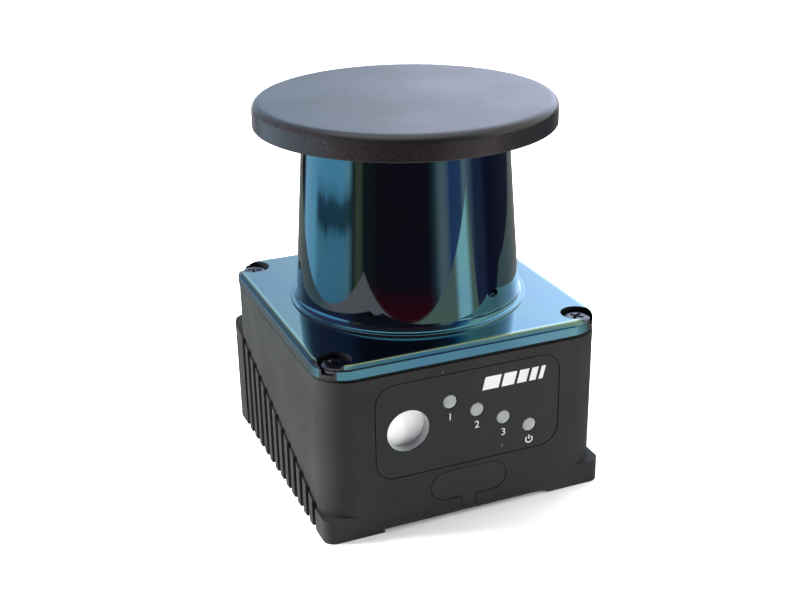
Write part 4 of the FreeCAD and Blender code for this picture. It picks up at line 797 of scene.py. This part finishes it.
VIEW_AZIMUTH = math.radians(-22.441)
VIEW_ELEVATION = math.radians(22.977)
VIEW_ROLL = math.radians(-0.936)
CAMERA_PLACE = (-121.801, -289.388, 178.721)
LENS = 55.07
SENSOR = 36.0

CLIP_START = 0.01

# The room as shiny surfaces see it, below the horizon and then above it:
# the angle to the right of the camera's side in degrees, then the colour.
ROOM_BANDS = (
    (-180, (1.15, 1.20, 1.30)), (-152, (1.00, 1.02, 1.10)), (-149, (0.02, 0.02, 0.03)),
    (-139, (0.02, 0.02, 0.04)), (-133, (0.45, 0.72, 0.98)), (-112, (0.48, 0.78, 1.02)),
    (-96, (0.48, 0.74, 1.02)), (-72, (0.55, 0.78, 1.05)), (-63, (0.80, 0.78, 0.86)),
    (-57, (0.04, 0.03, 0.03)), (-54, (0.30, 0.16, 0.09)), (-49, (0.32, 0.17, 0.10)),
    (-45, (0.04, 0.035, 0.03)), (-36, (0.05, 0.03, 0.03)), (-28, (0.045, 0.016, 0.022)),
    (22, (0.045, 0.016, 0.024)), (28, (0.10, 0.08, 0.09)), (35, (0.55, 0.36, 0.34)),
    (41, (0.55, 0.34, 0.36)), (46, (0.12, 0.13, 0.30)), (58, (0.16, 0.15, 0.30)),
    (62, (0.75, 0.48, 0.46)), (68, (0.40, 0.28, 0.34)), (75, (0.10, 0.07, 0.13)),
    (84, (0.09, 0.06, 0.12)), (92, (0.03, 0.02, 0.05)), (120, (0.05, 0.03, 0.05)),
    (146, (0.03, 0.03, 0.06)), (151, (0.90, 0.92, 0.95)),
)
SKY_BANDS = (
    (-180, (1.05, 1.20, 1.48)), (-170, (0.56, 0.80, 1.06)), (-150, (0.40, 0.56, 0.74)),
    (-126, (0.14, 0.17, 0.24)), (-108, (0.20, 0.12, 0.22)), (-66, (0.18, 0.11, 0.20)),
    (-50, (0.10, 0.04, 0.05)), (24, (0.10, 0.04, 0.05)), (36, (0.10, 0.09, 0.08)),
    (48, (0.08, 0.10, 0.18)), (58, (0.20, 0.45, 0.62)), (70, (1.20, 1.10, 0.85)),
    (100, (0.90, 0.85, 0.70)), (130, (1.2, 1.3, 1.5)), (150, (2.2, 2.4, 2.95)),
    (168, (1.95, 2.15, 2.75)), (175, (1.45, 1.58, 2.0)),
)
CEILING = (1.35, 1.40, 1.45)
# the height of a direction (its Z) from where one part of the room fades into the next
HORIZON = (-0.02, 0.06)
CEILING_EDGE = (0.74, 0.93)
BACKDROP = 1.05

# brightness of the soft light by the height of the direction: a slanted dark bar crosses it
SOFT_LIGHT_LEVELS = (
    (-0.34, 0.50), (-0.29, 0.58), (-0.256, 0.66), (-0.238, 0.62), (-0.227, 0.16), (-0.211, 0.20),
    (-0.204, 0.62), (-0.190, 0.95), (-0.10, 1.0),
)
BAR_ANGLES = (-105, -60)
BAR_FADES = (0.02, 0.01)
BAR_SLANT = 0.295
BAR_MIDDLE = 0.28
BAR_WAVE = 0.006
BAR_WAVE_SIZE = 160.0

# a warm dark patch of room below the front edge of the table, by height and by angle
WARM_PATCH = (0.20, 0.008, 0.016)
WARM_TOP = -0.245
WARM_BOTTOM = -0.31
WARM_FADE = 0.02
WARM_REACH = ((0.0, 0.0), (0.36, 0.0), (0.40, 1.0), (0.56, 1.0), (0.60, 0.0))

# The table as shiny surfaces see it. Its corners: to the right of the view and towards the
# camera, in millimetres.
TABLE_CORNERS = (
    (-196, 212), (460, 212), (351, 156), (182, 63), (180, 0), (228, -50), (222, -170), (300, -400),
    (-196, -400),
)
TABLE_THICKNESS = 0.05
# its colours near the object, and past the distances where it turns duller
TABLE_NEAR = (0.92, 0.95, 0.95)
TABLE_NEAR_BEHIND = (0.24, 0.25, 0.25)
TABLE_FAR_LEFT = (0.80, 0.31, 0.28)
TABLE_FAR_RIGHT = (0.60, 0.38, 0.26)
TABLE_FAR_BEHIND = (0.20, 0.20, 0.19)
TABLE_DULL_FROM = (165, 195)
TABLE_LEFT_TO_RIGHT = (-40, 40)
TABLE_FRONT_TO_BACK = (-60, 20)
# a streak of light on it: its angle, the half widths where it starts and is full, its colour
STREAK_ANGLE = 55.5
STREAK_WIDTHS = (10.0, 4.0)
STREAK = (1.50, 1.30, 1.20)

FLOOR_RADIUS = 3000.0
FLOOR_HEIGHT = -0.1
FLOOR_COLOUR = (0.95, 0.95, 0.95)

LIGHT_COLOUR = (1.0, 0.99, 0.97)
LIGHTS = (
    # name, place, what it points at, width and height in millimetres, power in watts
    ("top_light", (100, 200, 700), (0, 0, 40), (600, 500), 6.0),
    ("left_light", (-520, 230, 200), (0, 0, 40), (260, 420), 24.0),
    ("right_light", (210, -170, 35), (40, -40, 25), (90, 160), 1.1),
)


def camera():
    back = Vector((math.sin(VIEW_AZIMUTH) * math.cos(VIEW_ELEVATION),
                   -math.cos(VIEW_AZIMUTH) * math.cos(VIEW_ELEVATION), math.sin(VIEW_ELEVATION)))
    level = Vector((math.cos(VIEW_AZIMUTH), math.sin(VIEW_AZIMUTH), 0))
    upright = back.cross(level)
    right = level * math.cos(VIEW_ROLL) + upright * math.sin(VIEW_ROLL)
    up = upright * math.cos(VIEW_ROLL) - level * math.sin(VIEW_ROLL)
    data = bpy.data.cameras.new("camera")
    data.lens = LENS
    data.sensor_width = SENSOR
    data.clip_start = CLIP_START
    item = linked("camera", data)
    turn = Matrix((right, up, back)).transposed().to_4x4()
    item.matrix_world = Matrix.Translation(Vector(CAMERA_PLACE) * MM) @ turn
    bpy.context.scene.camera = item


def ramp(tree, place, stops):
    """A colour ramp; each stop is a place from 0 to 1 and a colour, or a brightness."""
    item = add_node(tree, "ShaderNodeValToRGB", {"Fac": place})
    elements = item.color_ramp.elements
    while len(elements) < len(stops):
        elements.new(0.5)
    for element, (position, colour) in zip(elements, stops):
        if not isinstance(colour, tuple):
            colour = (colour, colour, colour)
        element.position = position
        element.color = (*colour, 1.0)
    return item.outputs["Color"]


def share_of_turn(angle):
    return (angle + 180) / 360


def bands(tree, share, stops):
    """Colours round the horizon; each stop is an angle in degrees and a colour."""
    return ramp(tree, share, [(share_of_turn(angle), colour) for angle, colour in stops])


def studio_axes(tree, place):
    """A place turned so that the camera's side is at -Y, its parts, and its angle from that side."""
    turned_to = add_node(tree, "ShaderNodeVectorRotate", {"Vector": place, "Angle": -VIEW_AZIMUTH},
                         rotation_type="Z_AXIS").outputs[0]
    parts = add_node(tree, "ShaderNodeSeparateXYZ", {"Vector": turned_to}).outputs
    angle = maths(tree, "ARCTAN2", parts["X"], maths(tree, "MULTIPLY", parts["Y"], -1.0))
    return turned_to, parts, angle


def soft_light_share(tree, direction, height, share):
    """How much of the soft light on the left is seen: a slightly wavy dark bar crosses it."""
    start, end = (share_of_turn(angle) for angle in BAR_ANGLES)
    from_left = ranged(tree, share, start - BAR_FADES[0], start)
    to_right = ranged(tree, share, end + BAR_FADES[1], end)
    slant = maths(tree, "MULTIPLY", maths(tree, "SUBTRACT", share, BAR_MIDDLE), BAR_SLANT)
    wave = spread(tree, noise(tree, direction, BAR_WAVE_SIZE, detail=1.0), -BAR_WAVE, BAR_WAVE)
    slanted = maths(tree, "ADD", maths(tree, "SUBTRACT", height, slant), wave)
    lowest, highest = SOFT_LIGHT_LEVELS[0][0], SOFT_LIGHT_LEVELS[-1][0]
    stops = [((edge - lowest) / (highest - lowest), brightness) for edge, brightness in SOFT_LIGHT_LEVELS]
    dimming = ramp(tree, ranged(tree, slanted, lowest, highest), stops)
    return blended(tree, maths(tree, "MULTIPLY", from_left, to_right), (1.0, 1.0, 1.0), dimming)


def warm_share(tree, height, share):
    """Where the warm patch is seen."""
    below = ranged(tree, height, WARM_TOP, WARM_TOP - WARM_FADE)
    above = ranged(tree, height, WARM_BOTTOM - WARM_FADE, WARM_BOTTOM)
    return maths(tree, "MULTIPLY", maths(tree, "MULTIPLY", below, above), ramp(tree, share, WARM_REACH))


def studio_world():
    """Bright behind and above, a soft light on the left, and the dim room on the camera's side."""
    world = bpy.data.worlds.new("studio")
    world.use_nodes = True
    tree = world.node_tree
    tree.nodes.clear()
    direction, parts, angle = studio_axes(tree, add_node(tree, "ShaderNodeTexCoord").outputs["Generated"])
    height = parts["Z"]
    share = maths(tree, "ADD", maths(tree, "DIVIDE", angle, TURN), 0.5)
    sky = blended(tree, ranged(tree, height, *CEILING_EDGE, smooth=True), bands(tree, share, SKY_BANDS),
                  CEILING)
    low_room = blended(tree, 1.0, bands(tree, share, ROOM_BANDS),
                       soft_light_share(tree, direction, height, share), mode="MULTIPLY")
    low_room = blended(tree, warm_share(tree, height, share), low_room, WARM_PATCH)
    room = blended(tree, ranged(tree, height, *HORIZON, smooth=True), low_room, sky)
    lit = add_node(tree, "ShaderNodeBackground", {"Color": room, "Strength": 1.0}).outputs[0]
    seen = add_node(tree, "ShaderNodeBackground", {"Color": (1, 1, 1, 1), "Strength": BACKDROP}).outputs[0]
    path = add_node(tree, "ShaderNodeLightPath").outputs["Is Camera Ray"]
    mixed = add_node(tree, "ShaderNodeMixShader", {0: path, 1: lit, 2: seen}).outputs[0]
    add_node(tree, "ShaderNodeOutputWorld", {"Surface": mixed})
    bpy.context.scene.world = world


def pale_floor():
    """The wide floor; shiny surfaces see the table instead."""
    item = lofted("floor", [circle(FLOOR_RADIUS, height, 128)
                            for height in (FLOOR_HEIGHT - 1.0, FLOOR_HEIGHT)])
    made, tree, shader, place = material("floor", roughness=0.9, specular_ior_level=0.0)
    darker = tuple(part * 0.98 for part in FLOOR_COLOUR)
    tone = blended(tree, spread(tree, noise(tree, place, 60.0), 0.0, 1.0), darker, FLOOR_COLOUR)
    tree.links.new(tone, shader.inputs["Base Color"])
    painted(item, made)
    item.visible_glossy = False


def table_glow():
    """The table's light: bright near the object, duller and warmer farther off, with one streak."""
    made = bpy.data.materials.new("table_in_reflections")
    made.use_nodes = True
    tree = made.node_tree
    tree.nodes.clear()
    place = add_node(tree, "ShaderNodeTexCoord").outputs["Object"]
    parts, angle = studio_axes(tree, place)[1:]
    radius = add_node(tree, "ShaderNodeVectorMath", {0: place}, operation="LENGTH").outputs["Value"]
    far = ranged(tree, radius, *(edge * MM for edge in TABLE_DULL_FROM), smooth=True)
    right = ranged(tree, parts["X"], *(edge * MM for edge in TABLE_LEFT_TO_RIGHT))
    behind = ranged(tree, parts["Y"], *(edge * MM for edge in TABLE_FRONT_TO_BACK))
    far_tone = blended(tree, behind, blended(tree, right, TABLE_FAR_LEFT, TABLE_FAR_RIGHT), TABLE_FAR_BEHIND)
    tone = blended(tree, far, blended(tree, behind, TABLE_NEAR, TABLE_NEAR_BEHIND), far_tone)
    away = maths(tree, "ABSOLUTE", maths(tree, "SUBTRACT", maths(tree, "DEGREES", angle), STREAK_ANGLE))
    tone = blended(tree, ranged(tree, away, *STREAK_WIDTHS, smooth=True), tone, STREAK)
    glow = add_node(tree, "ShaderNodeEmission", {"Color": tone, "Strength": 1.0}).outputs[0]
    add_node(tree, "ShaderNodeOutputMaterial", {"Surface": glow})
    return made


def table_in_reflections():
    """A thin glowing table that only shiny surfaces see."""
    turn = Matrix.Rotation(VIEW_AZIMUTH, 2)
    outline = [turn @ Vector((across, -towards)) for across, towards in TABLE_CORNERS]
    item = lofted("table_in_reflections", [[(spot.x, spot.y, height) for spot in outline]
                                           for height in (-TABLE_THICKNESS, 0.0)])
    painted(item, table_glow())
    item.visible_camera = False
    item.visible_diffuse = False
    item.visible_shadow = False


def soft_light(name, place, target, size, power):
    """A soft light that isn't seen in shiny surfaces, which see the painted room instead."""
    data = bpy.data.lights.new(name, "AREA")
    data.shape = "RECTANGLE"
    data.size, data.size_y = size[0] * MM, size[1] * MM
    data.energy = power
    data.color = LIGHT_COLOUR
    item = linked(name, data)
    item.location = Vector(place) * MM
    item.rotation_mode = "QUATERNION"
    item.rotation_quaternion = (Vector(target) - Vector(place)).to_track_quat("-Z", "Y")
    item.visible_glossy = False


def studio():
    camera()
    studio_world()
    pale_floor()
    table_in_reflections()
    for name, place, target, size, power in LIGHTS:
        soft_light(name, place, target, size, power)
    view = bpy.context.scene.view_settings
    view.view_transform = "Standard"
    view.look = "None"


# ---------------------------------------------------------------- put it together

finish = outside_materials()
paint_cad_nodes(finish)
refined("housing_body", "lower_housing", finish["powder_coat"], bevel=0.3)
window_moulding(finish)
cap_disc(finish)
flange_screws(finish)
refined("label_plate", "front_overlay", finish["label_film"], bevel=0.06)
refined("light_pipes", "indicator_light_pipes", finish["light_pipe"], bevel=0.25, segments=3)
refined("status_tube", "status_light_tube", finish["tube"], bevel=0.12)
refined("rubber_port_cover", "port_cover", finish["rubber"], bevel=0.22, segments=3,
        body="cover")
printed_marks(finish)
connector_body(finish)
studio()
